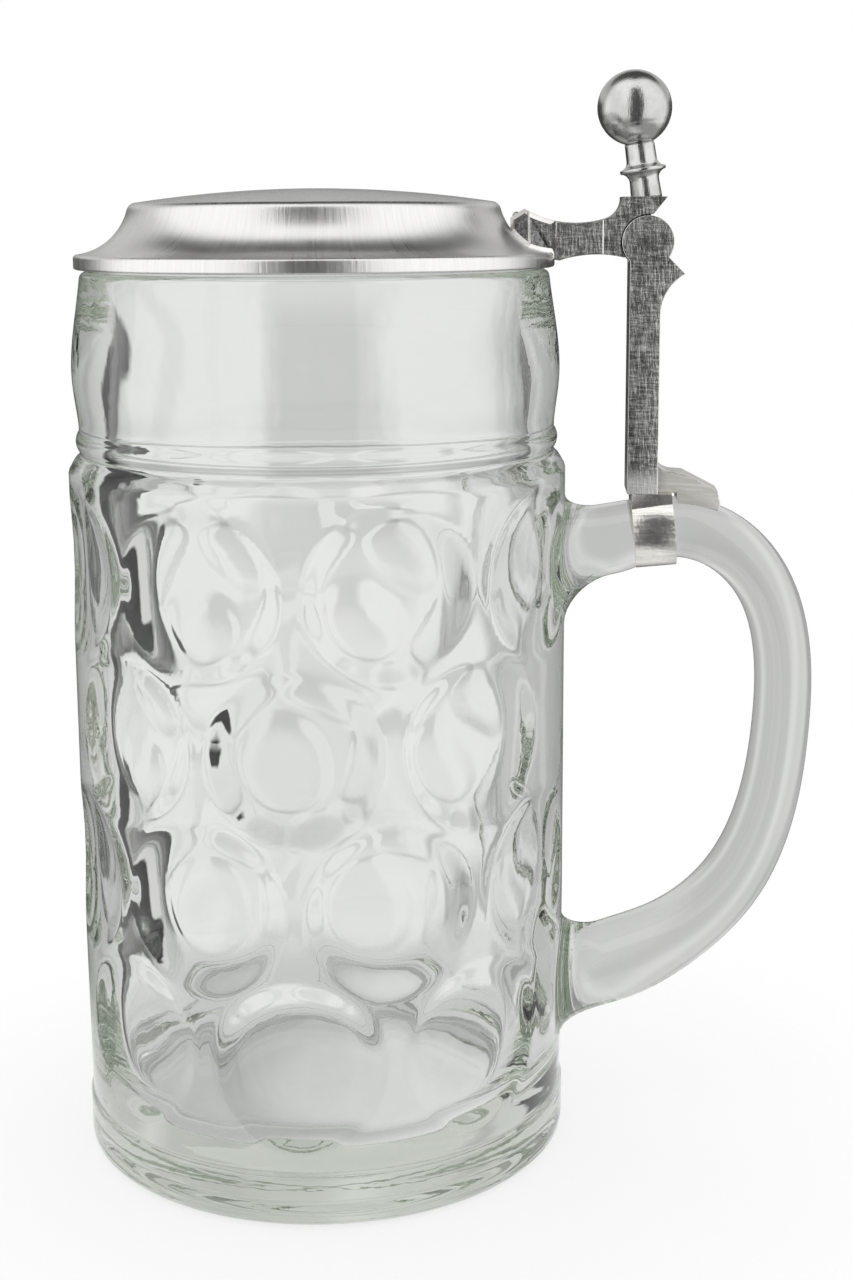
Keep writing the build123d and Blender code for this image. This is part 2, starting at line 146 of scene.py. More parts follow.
# %% studio directions
scene = bpy.context.scene
scene.view_settings.view_transform = "Standard"
BOUNCES = 24
scene.cycles.max_bounces = BOUNCES
scene.cycles.transmission_bounces = BOUNCES
scene.cycles.glossy_bounces = BOUNCES

world = bpy.data.worlds.new("studio_tent")
scene.world = world
world.use_nodes = True
sky = world.node_tree
sky.nodes.clear()

BACKDROP_TURN = math.degrees(math.atan2(VIEW_ALONG.y, VIEW_ALONG.x))
direction = add(sky, "ShaderNodeTexCoord").outputs["Generated"]
parts = add(sky, "ShaderNodeSeparateXYZ", {0: direction}).outputs
turned = calc(sky, "ARCTAN2", parts[1], parts[0])
turned = calc(sky, "SUBTRACT", calc(sky, "DEGREES", turned), BACKDROP_TURN)
side = calc(sky, "WRAP", turned, 180.0, -180.0)
off_backdrop = calc(sky, "ABSOLUTE", side)
height = calc(sky, "DEGREES", calc(sky, "ARCSINE", parts[2]))

ALL_HEIGHTS = (-60.0, 60.0)
CARD_SOFT = 2.0


def patch(side_range, height_range, soft=4.0, across=side):
    """1 inside a rectangle of directions, in degrees, and 0 outside it, with soft edges."""
    left = fade(sky, across, side_range[0] - soft, side_range[0] + soft)
    right = fade(sky, across, side_range[1] - soft, side_range[1] + soft, 1.0, 0.0)
    low = fade(sky, height, height_range[0] - soft, height_range[0] + soft)
    high = fade(sky, height, height_range[1] - soft, height_range[1] + soft, 1.0, 0.0)
    in_turn, in_height = calc(sky, "MULTIPLY", left, right), calc(sky, "MULTIPLY", low, high)
    return calc(sky, "MULTIPLY", in_turn, in_height)


def paint(under, mask, brightness):
    """Lays one patch of light or dark over what is already there."""
    change = calc(sky, "SUBTRACT", brightness, under)
    return calc(sky, "MULTIPLY_ADD", change, mask, under)


print("backdrop lies towards", round(BACKDROP_TURN, 1), "degrees")

# %% what shows through both walls of the mug
BACKDROP_LIGHT = 0.82
WING_LIGHT = 0.46
through = fade(sky, side, -27.0, -9.0, WING_LIGHT, BACKDROP_LIGHT)
left_wing = patch((30.0, 220.0), (-90.0, 90.0))
through = paint(through, left_wing, WING_LIGHT)

# a grey panel in the middle that fades out downwards, and a thin seam beside it
fades_down = fade(sky, height, -17.0, -5.0, 0.25, 1.0)
middle_panel = calc(sky, "MULTIPLY", patch((-0.6, 6.2), ALL_HEIGHTS, 1.2), fades_down)
through = paint(through, middle_panel, 0.62)
seam = patch((13.5, 16.5), (-20.0, 60.0), 1.0)
through = paint(through, seam, 0.74)

# less light from high up and from far down
high_up = fade(sky, height, 3.0, 17.0, 1.0, 0.52)
far_down = fade(sky, height, -36.0, -16.0, 0.74, 1.0)
through = calc(sky, "MULTIPLY", calc(sky, "MULTIPLY", through, high_up), far_down)
camera_side = patch((140.0, 220.0), (-30.0, 60.0), across=off_backdrop)
through = paint(through, camera_side, 0.70)

# the cards that draw the dark lines
upper_card = patch((31.0, 47.0), (-6.0, 24.0), CARD_SOFT)
lower_card = patch((26.0, 47.0), (-24.0, -4.0), CARD_SOFT)
right_card = patch((-47.0, -34.0), (-28.0, -7.0), CARD_SOFT)
for card, card_light in ((upper_card, 0.0), (lower_card, 0.0), (right_card, 0.25)):
    through = paint(through, card, card_light)
print("backdrop", BACKDROP_LIGHT, "between wings of", WING_LIGHT)

# %% what shows in solid glass, such as the handle
STRIPES = {-34.0: 0.66, -14.0: 0.50, 8.0: 0.68, 30.0: 0.46, 52.0: 0.60}
STRIPE_HALF = 4.0
solid = fade(sky, side, -60.0, 60.0, 0.50, 0.62)
for turn_to, stripe_light in STRIPES.items():
    stripe = patch((turn_to - STRIPE_HALF, turn_to + STRIPE_HALF), ALL_HEIGHTS)
    solid = paint(solid, stripe, stripe_light)
left_card = patch((51.0, 74.0), (-40.0, 44.0), CARD_SOFT)
solid = paint(solid, left_card, 0.0)
print("solid glass sees", len(STRIPES), "stripes")

# %% what the metal shows
SOFTBOX_LIGHT = 1.25
high_strip = patch((-60.0, 60.0), (10.0, 38.0))
mirrored = paint(0.06, high_strip, 0.66)
softboxes = fade(sky, off_backdrop, 50.0, 80.0)
mirrored = paint(mirrored, softboxes, SOFTBOX_LIGHT)
floor = fade(sky, height, -26.0, -42.0)
mirrored = paint(mirrored, floor, 0.50)
camera_gap = patch((158.0, 220.0), (-52.0, 60.0), CARD_SOFT, off_backdrop)
mirrored = paint(mirrored, camera_gap, 0.08)
print("softboxes of", SOFTBOX_LIGHT, "beside the camera")

# %% one room for every kind of ray
TENT_LIGHT = 0.95
ray = add(sky, "ShaderNodeLightPath").outputs
behind_glass = fade(sky, ray["Transmission Depth"], 0.2, 0.8)
mirrored = paint(mirrored, behind_glass, 0.50)
light = paint(TENT_LIGHT, ray["Is Glossy Ray"], mirrored)
both_walls = fade(sky, ray["Transmission Depth"], 2.4, 3.6)
light = paint(light, ray["Is Transmission Ray"], paint(solid, both_walls, through))
light = paint(light, ray["Is Camera Ray"], 1.0)
shell = add(sky, "ShaderNodeBackground", {"Color": (1, 1, 1, 1), "Strength": light})
add(sky, "ShaderNodeOutputWorld", {"Surface": shell.outputs[0]})
print("studio has", len(sky.nodes), "nodes")

# %% [markdown]
# ## Table
# The stein stands on white acrylic, lit from below, so that only a faint contact shadow
# shows. Most of its light is its own, and the rest is what falls on it. It fades out
# round the stein, and lies a hair below the glass so that the two don't share a face.
# Seen through the glass its own light is turned down towards the foot: a painted shadow of the mug.

# %% table
TABLE_R = 0.20
TABLE_X = 0.02
TABLE_DROP = 0.0003
FADES_OUT = (0.085, 0.15)
SHADED_BY_MUG = (0.020, 0.056)


@contextmanager
def editing(mesh):
    """Opens a mesh for changes, and writes them back at the end."""
    shape = bmesh.new()
    shape.from_mesh(mesh)
    yield shape
    shape.to_mesh(mesh)
    shape.free()


def make_table():
    mesh = bpy.data.meshes.new("light_table")
    with editing(mesh) as shape:
        bmesh.ops.create_circle(shape, cap_ends=True, segments=96, radius=TABLE_R)
        bmesh.ops.translate(shape, verts=shape.verts, vec=(TABLE_X, 0, -TABLE_DROP))
    table = bpy.data.objects.new("light_table", mesh)
    scene.collection.objects.link(table)
    material = bpy.data.materials.new("lit_acrylic")
    material.use_nodes = True
    tree = material.node_tree
    tree.nodes.clear()
    place = add(tree, "ShaderNodeTexCoord").outputs["Object"]
    centred = add(tree, "ShaderNodeVectorMath", {0: place, 1: (TABLE_X, 0, 0)}, operation="DISTANCE")
    clear = fade(tree, centred.outputs["Value"], *FADES_OUT)
    seen_through = add(tree, "ShaderNodeLightPath").outputs["Is Transmission Ray"]
    # painted shadow: seen through the glass, the table's own light drops from 0.68 to 0.42 near the
    # mug's foot
    painted_shadow_through_glass = fade(tree, centred.outputs["Value"], *SHADED_BY_MUG, 0.68, 0.42)
    own_light = blend(tree, seen_through, 0.76, painted_shadow_through_glass)
    own = add(tree, "ShaderNodeEmission", {"Strength": own_light})
    caught = add(tree, "ShaderNodeBsdfDiffuse", {"Color": (0.25, 0.25, 0.25, 1)})
    lit = add(tree, "ShaderNodeAddShader", {0: own.outputs[0], 1: caught.outputs[0]})
    gone = add(tree, "ShaderNodeBsdfTransparent")
    mixed = add(tree, "ShaderNodeMixShader", {0: clear, 1: lit.outputs[0], 2: gone.outputs[0]})
    add(tree, "ShaderNodeOutputMaterial", {"Surface": mixed.outputs[0]})
    mesh.materials.append(material)
    return table


table = make_table()
print("table radius", TABLE_R)

# %% [markdown]
# ## Outlines and turned shapes
# The mug, the lid, the stem and the ball are all round, so each is one outline turned
# about an axis. An outline is a list of (radius, height) points made from straight runs,
# arcs through three points and smooth curves, which keeps round things round.
# Turning it gives a grid of four-sided faces, with one point at each pole.

# %% outline helpers
def run(start, end, steps):
    """Points of a straight run, without its last one."""
    shares = np.linspace(0, 1, steps, endpoint=False)[:, None]
    return list(np.array(start) * (1 - shares) + np.array(end) * shares)


def arc(start, middle, end, steps):
    """Points of the arc through three points, without its last one."""
    (ax, ay), (bx, by), (cx, cy) = start, middle, end
    scale = 2 * (ax * (by - cy) + bx * (cy - ay) + cx * (ay - by))
    squares = (ax**2 + ay**2, bx**2 + by**2, cx**2 + cy**2)
    ox = (squares[0] * (by - cy) + squares[1] * (cy - ay) + squares[2] * (ay - by)) / scale
    oy = (squares[0] * (cx - bx) + squares[1] * (ax - cx) + squares[2] * (bx - ax)) / scale
    first = math.atan2(ay - oy, ax - ox)
    half = (math.atan2(by - oy, bx - ox) - first + math.pi) % (2 * math.pi) - math.pi
    rest = (math.atan2(cy - oy, cx - ox) - first - half + math.pi) % (2 * math.pi) - math.pi
    radius = math.hypot(ax - ox, ay - oy)
    turns = first + np.linspace(0, 1, steps, endpoint=False) * (half + rest)
    return [np.array((ox + radius * math.cos(t), oy + radius * math.sin(t))) for t in turns]


def smooth(points, steps, start=None, end=None):
    """A natural cubic curve through any points, without its last one."""
    points = np.array(points, float)
    chords = np.linalg.norm(np.diff(points[:, :2], axis=0), axis=1)
    knots = np.concatenate(((0,), np.cumsum(chords)))
    count = len(points)
    system = np.zeros((count, count))
    wanted = np.zeros_like(points)
    system[0, 0:2] = (2, 1)
    system[-1, -2:] = (1, 2)
    wanted[0] = 3 * (points[1] - points[0]) / chords[0]
    wanted[-1] = 3 * (points[-1] - points[-2]) / chords[-1]
    for row in range(1, count - 1):
        before, after = chords[row - 1], chords[row]
        system[row, row - 1:row + 2] = (after, 2 * (before + after), before)
        wanted[row] = 3 * (
            after * (points[row] - points[row - 1]) / before
            + before * (points[row + 1] - points[row]) / after
        )
    for row, slope in ((0, start), (count - 1, end)):
        if slope is not None:
            system[row] = 0
            system[row, row] = 1
            wanted[row] = np.array(slope) / np.linalg.norm(slope[:2])
    slopes = np.linalg.solve(system, wanted)
    found = []
    for at in np.linspace(0, knots[-1], steps, endpoint=False):
        span = min(np.searchsorted(knots, at, side="right") - 1, count - 2)
        size = chords[span]
        t = (at - knots[span]) / size
        found.append(
            (1 + 2 * t) * (1 - t)**2 * points[span] + t * (1 - t)**2 * size * slopes[span]
            + t**2 * (3 - 2 * t) * points[span + 1] + t**2 * (t - 1) * size * slopes[span + 1]
        )
    return found


print("outline helpers ready")

# %% turning an outline
def grid_mesh(name, outline, steps):
    """Turns an outline in millimetres about Z. It starts and ends on the axis."""
    ring = 2 * math.pi * np.arange(steps) / steps
    body = np.array(outline[1:-1], float) * MM
    points = np.stack(
        (np.outer(body[:, 0], np.cos(ring)), np.outer(body[:, 0], np.sin(ring)),
         np.repeat(body[:, 1:2], steps, axis=1)), axis=2).reshape(-1, 3)
    ends = [(0, 0, outline[0][1] * MM), (0, 0, outline[-1][1] * MM)]
    faces = []
    for row in range(len(body) - 1):
        for col in range(steps):
            after = (col + 1) % steps
            faces.append((row * steps + col, row * steps + after,
                          (row + 1) * steps + after, (row + 1) * steps + col))
    first_pole = len(points)
    last = (len(body) - 1) * steps
    for col in range(steps):
        after = (col + 1) % steps
        faces.append((first_pole, after, col))
        faces.append((first_pole + 1, last + col, last + after))
    mesh = bpy.data.meshes.new(name)
    mesh.from_pydata([*map(tuple, points), *ends], [], faces)
    return mesh


def face_outwards(mesh):
    """Turns every face outwards and shades the mesh smooth."""
    with editing(mesh) as shape:
        bmesh.ops.recalc_face_normals(shape, faces=shape.faces)
        if shape.calc_volume(signed=True) < 0:
            bmesh.ops.reverse_faces(shape, faces=shape.faces)
    mesh.shade_smooth()
    return mesh


def show(mesh, material):
    """Links a mesh as a piece of its own with one material."""
    piece = bpy.data.objects.new(mesh.name, mesh)
    scene.collection.objects.link(piece)
    mesh.materials.clear()
    mesh.materials.append(material)
    return piece


def place_in_kit(piece, body, slot_name, *nodes):
    """Puts a piece on the body it rides on, and hides the parts of the model it stands for.
    slot_name is not used.
    """
    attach(piece, body)
    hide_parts(*nodes)


def finish_tree(tree, made, material, out):
    """Ends a Geometry Nodes tree: real geometry, with its material."""
    real = add(tree, "GeometryNodeRealizeInstances", {"Geometry": made}).outputs[0]
    done = add(tree, "GeometryNodeSetMaterial", {"Geometry": real, "Material": material})
    tree.links.new(done.outputs[0], out.inputs[0])


def bake(piece, modifier):
    """The plain mesh that a piece makes with its modifier, which then comes off."""
    graph = bpy.context.evaluated_depsgraph_get()
    graph.update()
    result = bpy.data.meshes.new_from_object(piece.evaluated_get(graph), depsgraph=graph)
    piece.modifiers.remove(modifier)
    return result


print("turning helpers ready")

# %% [markdown]
# ## Shared finishes
# The same few marks of making turn up on every metal piece, so each is one node group,
# used with different sizes. Sanding and brushing leave long thin grooves: noise that is
# stretched along the stroke. Casting leaves a soft mottle. Hands leave dull patches.
# The groups give only heights and masks, and each material decides what they do.

# %% finish groups
def stroke_group():
    """Fine grooves all running one way: Place turned by Turn, long along its Z."""
    tree, given, out = group_tree(
        "sanding_strokes", "ShaderNodeTree",
        [("Place", "NodeSocketVector", None), ("Turn", "NodeSocketFloat", 0.0),
         ("Strokes per metre", "NodeSocketFloat", 2500.0), ("Stretch", "NodeSocketFloat", 30.0),
         ("Seed", "NodeSocketFloat", 0.0)],
        [("Height", "NodeSocketFloat"), ("Marks", "NodeSocketFloat")])
    turned_place = add(tree, "ShaderNodeVectorRotate",
                       {"Vector": given.outputs["Place"], "Angle": given.outputs["Turn"]},
                       rotation_type="Y_AXIS")
    axes = add(tree, "ShaderNodeSeparateXYZ", {0: turned_place.outputs[0]}).outputs
    along = calc(tree, "DIVIDE", axes[2], given.outputs["Stretch"])
    squeezed = add(tree, "ShaderNodeCombineXYZ", {0: axes[0], 1: axes[1], 2: along}).outputs[0]
    noise = add(tree, "ShaderNodeTexNoise",
                {"Vector": squeezed, "W": given.outputs["Seed"],
                 "Scale": given.outputs["Strokes per metre"], "Detail": 2.0, "Roughness": 0.6},
                noise_dimensions="4D")
    marks = fade(tree, noise.outputs[0], 0.46, 0.62)
    tree.links.new(noise.outputs[0], out.inputs["Height"])
    tree.links.new(marks, out.inputs["Marks"])
    return tree


def mottle_group():
    """Soft blotches, for cast skin and for finger marks: their height, and a mask of patches."""
    tree, given, out = group_tree(
        "soft_mottle", "ShaderNodeTree",
        [("Place", "NodeSocketVector", None), ("Blotches per metre", "NodeSocketFloat", 200.0)],
        [("Height", "NodeSocketFloat"), ("Patches", "NodeSocketFloat")])
    coarse = add(tree, "ShaderNodeTexNoise",
                 {"Vector": given.outputs["Place"], "Scale": given.outputs["Blotches per metre"],
                  "Detail": 3.0, "Roughness": 0.55})
    patches = fade(tree, coarse.outputs[0], 0.38, 0.66)
    tree.links.new(coarse.outputs[0], out.inputs["Height"])
    tree.links.new(patches, out.inputs["Patches"])
    return tree


STROKES = stroke_group()
MOTTLE = mottle_group()


def use(tree, group, place, **values):
    """Places a finish group in a material with its own values."""
    node = tree.nodes.new("ShaderNodeGroup")
    node.node_tree = group
    tree.links.new(place, node.inputs["Place"])
    for name, value in values.items():
        node.inputs[name.replace("_", " ")].default_value = value
    return node.outputs


def weigh(tree, *pairs):
    """Adds up outputs, each times its own weight."""
    total = 0.0
    for socket, weight in pairs:
        total = calc(tree, "MULTIPLY_ADD", socket, weight, total)
    return total


def new_material(name):
    """A material with an empty tree, and the piece's own coordinates."""
    material = bpy.data.materials.new(name)
    material.use_nodes = True
    tree = material.node_tree
    tree.nodes.clear()
    place = add(tree, "ShaderNodeTexCoord").outputs["Object"]
    return material, tree, place


def finish_metal(tree, colours, colour_by, rough, height, depth):
    """The Principled shader of a metal: colour, roughness and grooves from the finish groups."""
    dull, bright = colours
    tone = add(tree, "ShaderNodeMix", {0: colour_by, 6: dull, 7: bright}, data_type="RGBA")
    bump = add(tree, "ShaderNodeBump", {"Height": height, "Distance": depth})
    shader = add(tree, "ShaderNodeBsdfPrincipled",
                 {"Base Color": tone.outputs[2], "Metallic": 1.0, "Roughness": rough,
                  "Normal": bump.outputs[0]})
    add(tree, "ShaderNodeOutputMaterial", {"Surface": shader.outputs[0]})


print("finish groups:", STROKES.name, MOTTLE.name)

# %% [markdown]
# ## Metals
# Every metal starts from a dull and a bright colour, and a pattern chooses between them.
# The lever and post are pewter rubbed with coarse paper both ways, which gives a dark
# woven hatch, and the lever's sunk panel is painted darker still, as painted shade. The
# band is cast and then rubbed, and the rest keeps more of its cast skin. The stem and ball
# are polished, and every rounded edge is rubbed and painted bright, a painted highlight.
# The lid is steel, brushed up and down its side and straight across its top, and its top
# is painted darker, as painted shade.

# %% sanded pewter
SANDED_TONES = (0.20, 0.20, 0.197, 1), (0.72, 0.72, 0.705, 1)
# painted shade: darker tones for the lever's sunk panel
PANEL_SHADE_TONES = (0.09, 0.09, 0.088, 1), (0.34, 0.34, 0.335, 1)
COARSE_PAPER = {"Strokes_per_metre": 2500.0, "Stretch": 8.0}
HATCH_DEPTH = 0.26 * MM
POST_FADE = (160.0 * MM, 154.5 * MM)


def sanded_pewter(name, colours):
    """Coarse paper both ways leaves an even weave. Below 160 mm, at the post's foot, it gets the
    bright tone and more roughness.
    """
    material, tree, place = new_material(name)
    upright = use(tree, STROKES, place, Turn=math.radians(3), **COARSE_PAPER)
    level_marks = use(tree, STROKES, place, Turn=math.radians(88), Seed=3.0, **COARSE_PAPER)
    patches = use(tree, MOTTLE, place, Blotches_per_metre=230.0)
    hatch = weigh(tree, (upright["Height"], 0.55), (level_marks["Height"], 0.55))
    marks = weigh(tree, (upright["Marks"], 0.5), (level_marks["Marks"], 0.5),
                  (patches["Patches"], 0.12))
    at_height = add(tree, "ShaderNodeSeparateXYZ", {0: place}).outputs[2]
    # lighter and rougher towards the post's foot, below 160 mm
    post_foot_mask = fade(tree, at_height, *POST_FADE)
    marks = calc(tree, "MAXIMUM", marks, post_foot_mask)
    rough = weigh(tree, (hatch, 0.25), (patches["Patches"], 0.08), (post_foot_mask, 0.25))
    rough = calc(tree, "ADD", rough, 0.16)
    finish_metal(tree, colours, marks, rough, hatch, HATCH_DEPTH)
    return material


print("the hatch is", COARSE_PAPER["Strokes_per_metre"] * MM, "strokes per mm")

# %% cast and polished pewter
CAST_TONES = (0.80, 0.785, 0.74, 1), (0.92, 0.91, 0.87, 1)
POLISHED_TONES = (0.50, 0.50, 0.495, 1), (0.64, 0.64, 0.63, 1)
# bright tones of the rubbed edges: wear, and a painted highlight
WORN_HIGHLIGHT_TONES = (0.74, 0.73, 0.70, 1), (0.90, 0.89, 0.87, 1)
CAST_DEPTH = 0.09 * MM
POLISH_DEPTH = 0.03 * MM
FINE_DEPTH = 0.02 * MM


def cast_pewter(name, roughness):
    """Cast skin, rubbed level once. A higher roughness leaves more of the skin."""
    material, tree, place = new_material(name)
    skin = use(tree, MOTTLE, place, Blotches_per_metre=900.0)
    patches = use(tree, MOTTLE, place, Blotches_per_metre=160.0)
    rubbed = use(tree, STROKES, place, Strokes_per_metre=1900.0, Stretch=14.0, Turn=math.radians(86))
    height_sum = weigh(tree, (skin["Height"], 0.5), (rubbed["Height"], 0.3))
    rough = weigh(tree, (patches["Patches"], 0.06), (skin["Height"], 0.10))
    rough = calc(tree, "ADD", rough, roughness)
    finish_metal(tree, CAST_TONES, rubbed["Marks"], rough, height_sum, CAST_DEPTH)
    return material


def polished_pewter():
    material, tree, place = new_material("polished_pewter")
    buffed = use(tree, STROKES, place, Strokes_per_metre=3200.0, Stretch=18.0, Turn=math.radians(4))
    patches = use(tree, MOTTLE, place, Blotches_per_metre=140.0)
    rough = weigh(tree, (buffed["Marks"], 0.08), (patches["Patches"], 0.05))
    rough = calc(tree, "ADD", rough, 0.16)
    finish_metal(tree, POLISHED_TONES, patches["Patches"], rough, buffed["Height"], POLISH_DEPTH)
    return material


def worn_edge_with_painted_highlight():
    """An edge rubbed by the last pass of the buffing wheel, coloured bright: wear, and a painted
    highlight.
    """
    material, tree, place = new_material("worn_edge_with_painted_highlight")
    buffed = use(tree, STROKES, place, Strokes_per_metre=2600.0, Stretch=10.0, Turn=math.radians(60))
    patches = use(tree, MOTTLE, place, Blotches_per_metre=300.0)
    rough = calc(tree, "MULTIPLY_ADD", patches["Patches"], 0.14, 0.20)
    finish_metal(tree, WORN_HIGHLIGHT_TONES, patches["Patches"], rough, buffed["Height"], FINE_DEPTH)
    return material


print("grooves of", [round(d / MM, 2) for d in (CAST_DEPTH, POLISH_DEPTH, FINE_DEPTH)], "mm")

# %% brushed steel of the lid and the pin's steel
LID_TONES = (0.42, 0.417, 0.41, 1), (0.88, 0.875, 0.86, 1)
PIN_TONES = (0.45, 0.45, 0.46, 1), (0.62, 0.62, 0.63, 1)
BRUSH_DEPTH = 0.04 * MM
CREST_R = 40.0 * MM
SHOULDER_TOP_Z = 216.4 * MM
TURNOVER = 0.4 * MM


def lid_steel():
    """The strokes run up the side of the lid, and straight across its top. The top is painted
    darker, as painted shade.
    """
    material, tree, place = new_material("lid_steel")
    axes = add(tree, "ShaderNodeSeparateXYZ", {0: place}).outputs
    flat = add(tree, "ShaderNodeCombineXYZ", {0: axes[0], 1: axes[1]}).outputs[0]
    outward = add(tree, "ShaderNodeVectorMath", {0: flat}, operation="NORMALIZE").outputs[0]
    wrapped = add(tree, "ShaderNodeVectorMath", {0: outward, "Scale": CREST_R}, operation="SCALE")
    side_x, side_y, _ = add(tree, "ShaderNodeSeparateXYZ", {0: wrapped.outputs[0]}).outputs
    around = add(tree, "ShaderNodeCombineXYZ", {0: side_x, 1: side_y, 2: axes[2]}).outputs[0]
    across = add(tree, "ShaderNodeCombineXYZ", {0: axes[1], 1: axes[2], 2: axes[0]}).outputs[0]
    upright = use(tree, STROKES, around, Strokes_per_metre=2300.0, Stretch=24.0)
    straight = use(tree, STROKES, across, Strokes_per_metre=2400.0, Stretch=60.0, Seed=5.0)
    patches = use(tree, MOTTLE, place, Blotches_per_metre=90.0)
    on_top = fade(tree, axes[2], SHOULDER_TOP_Z - TURNOVER, SHOULDER_TOP_Z + TURNOVER)
    difference = calc(tree, "SUBTRACT", straight["Height"], upright["Height"])
    height_sum = calc(tree, "MULTIPLY_ADD", difference, on_top, upright["Height"])
    rough = weigh(tree, (patches["Patches"], 0.05), (height_sum, 0.16), (on_top, -0.06))
    rough = calc(tree, "ADD", rough, 0.21)
    # painted shade: the top of the lid takes the dull tone, and its side the bright one
    brightness = weigh(tree, (height_sum, 0.5), (on_top, -0.5))
    brightness = calc(tree, "ADD", brightness, 0.5)
    finish_metal(tree, LID_TONES, brightness, rough, height_sum, BRUSH_DEPTH)
    return material


def pin_steel():
    material, tree, place = new_material("pin_steel")
    turned_marks = use(tree, STROKES, place, Strokes_per_metre=3000.0, Stretch=12.0)
    rough = calc(tree, "MULTIPLY_ADD", turned_marks["Height"], 0.2, 0.2)
    finish_metal(tree, PIN_TONES, turned_marks["Marks"], rough, turned_marks["Height"], FINE_DEPTH)
    return material


SANDED = sanded_pewter("sanded_pewter", SANDED_TONES)
PANEL_SHADE = sanded_pewter("sunk_panel_painted_shade", PANEL_SHADE_TONES)
CAST = cast_pewter("cast_pewter", 0.20)
CAST_SKIN = cast_pewter("cast_skin", 0.50)
POLISHED = polished_pewter()
WORN_EDGE_HIGHLIGHT = worn_edge_with_painted_highlight()
STEEL = lid_steel()
PIN = pin_steel()
print("metals:", [m.name for m in (SANDED, PANEL_SHADE, CAST, CAST_SKIN, POLISHED, WORN_EDGE_HIGHLIGHT, STEEL, PIN)])

# %% [markdown]
# ## Glass
# Pressed soda glass is nearly clear, with a green cast that only shows where light runs
# a long way through it, as in the thick base. So the surface is colourless and the
# volume absorbs a little red and blue. The mould leaves the skin slightly wavy, which
# is what makes the lines seen through it wander.

# %% clear glass
WAVE_HEIGHT = 0.06 * MM
CLEAR_TINTS = (0.985, 0.995, 0.985, 1), (1, 1, 1, 1)
GREEN_TINT = (0.875, 0.93, 0.84, 1)


def clear_glass():
    material, tree, place = new_material("clear_glass")
    waves = use(tree, MOTTLE, place, Blotches_per_metre=75.0)
    ripples = use(tree, MOTTLE, place, Blotches_per_metre=260.0)
    skin = weigh(tree, (waves["Height"], 1.0), (ripples["Height"], 0.06))
    bump = add(tree, "ShaderNodeBump", {"Height": skin, "Distance": WAVE_HEIGHT})
    tint = add(tree, "ShaderNodeMix", {0: waves["Patches"], 6: CLEAR_TINTS[0], 7: CLEAR_TINTS[1]},
               data_type="RGBA")
    shader = add(tree, "ShaderNodeBsdfPrincipled",
                 {"Base Color": tint.outputs[2], "Roughness": 0.0, "IOR": 1.5,
                  "Specular IOR Level": 0.3, "Transmission Weight": 1.0, "Normal": bump.outputs[0]})
    green = add(tree, "ShaderNodeVolumeAbsorption", {"Color": GREEN_TINT, "Density": 8.0})
    ends = {"Surface": shader.outputs[0], "Volume": green.outputs[0]}
    add(tree, "ShaderNodeOutputMaterial", ends)
    return material


GLASS = clear_glass()
print("glass:", GLASS.name)

# %% [markdown]
# ## The mug's round body
# One closed outline goes from the middle of the underside, out over the foot, up the
# outer wall, over the fill-line bead and the rim, and down inside to the floor. The wall
# gets even rows, because the dimples and the handle's roots are cut from them later.

# %% mug outline
COLUMNS = 300
BODY_R = 56.1
CAVITY_R = 47.6
FLOOR_Z = 13.5
WALL_LOW_Z = 14.0
WALL_HIGH_Z = 157.75
WALL_ROW = 1.25
WALL_ROWS = round((WALL_HIGH_Z - WALL_LOW_Z) / WALL_ROW)
GLASS_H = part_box("glass_mug")[1].z / MM

underside = (
    run((0, 1.3), (40, 1.3), 6)
    + smooth([(40, 1.3), (44.5, 0.5), (47.5, 0)], 5, (1, 0), (1, 0))
    + run((47.5, 0), (53.6, 0), 3)
    + arc((53.6, 0), (55.5, 0.8), (56.3, 2.7), 6)
    + run((56.3, 2.7), (56.3, 11.2), 6)
    + smooth([(56.3, 11.2), (56.15, 11.75), (55.75, 12.3), (55.8, WALL_LOW_Z)], 6, (0, 1), (0, 1))
)
WALL_FIRST_ROW = len(underside) - 1
outer_wall = run((55.8, WALL_LOW_Z), (BODY_R, 60), round((60 - WALL_LOW_Z) / WALL_ROW))
rows_left = WALL_ROWS - len(outer_wall)
outer_wall += run((BODY_R, outer_wall[-1][1] + WALL_ROW), (BODY_R, WALL_HIGH_Z), rows_left)
neck = (
    smooth([(BODY_R, WALL_HIGH_Z), (55.5, 159.2), (54.6, 160.7)], 4, (0, 1), (-0.8, 1))
    + smooth([(54.6, 160.7), (53.5, 161.9), (53.5, 162.6)], 4, (-0.9, 1), (0.5, 1))
    + arc((53.5, 162.6), (54.25, 164.8), (53.5, 167.0), 8)
    + smooth([(53.5, 167.0), (53.45, 167.6), (54.6, 178), (52.3, 200.4)], 26, (-0.4, 1), (-0.12, 1))
)
rim = (
    arc((52.3, 200.4), (51.83, 201.53), (50.7, GLASS_H), 5)
    + run((50.7, GLASS_H), (49.8, GLASS_H), 1)
    + arc((49.8, GLASS_H), (48.75, 201.5), (48.3, 200.3), 5)
)
inside = (
    smooth([(48.3, 200.3), (47.5, 190), (46.6, 172), (47.6, 156.6)], 22, (-0.08, -1), (0, -1))
    + run((CAVITY_R, 156.6), (CAVITY_R, FLOOR_Z + 9), 56)
    + arc((CAVITY_R, FLOOR_Z + 9), (44.96, 16.14), (38.6, FLOOR_Z), 10)
    + run((38.6, FLOOR_Z), (0, FLOOR_Z), 6)
    + [np.array((0, FLOOR_Z))]
)
mug_outline = underside + outer_wall + neck + rim + inside
print("mug outline has", len(mug_outline), "points; wall rows", len(outer_wall))

# %% [markdown]
# ## Room for the handle's roots
# The handle grows out of the wall in an oval. A grid has no oval in it, so the grid's
# points are slid along the wall round each root until one of its square rings becomes
# that oval. Further out they stay where they were.

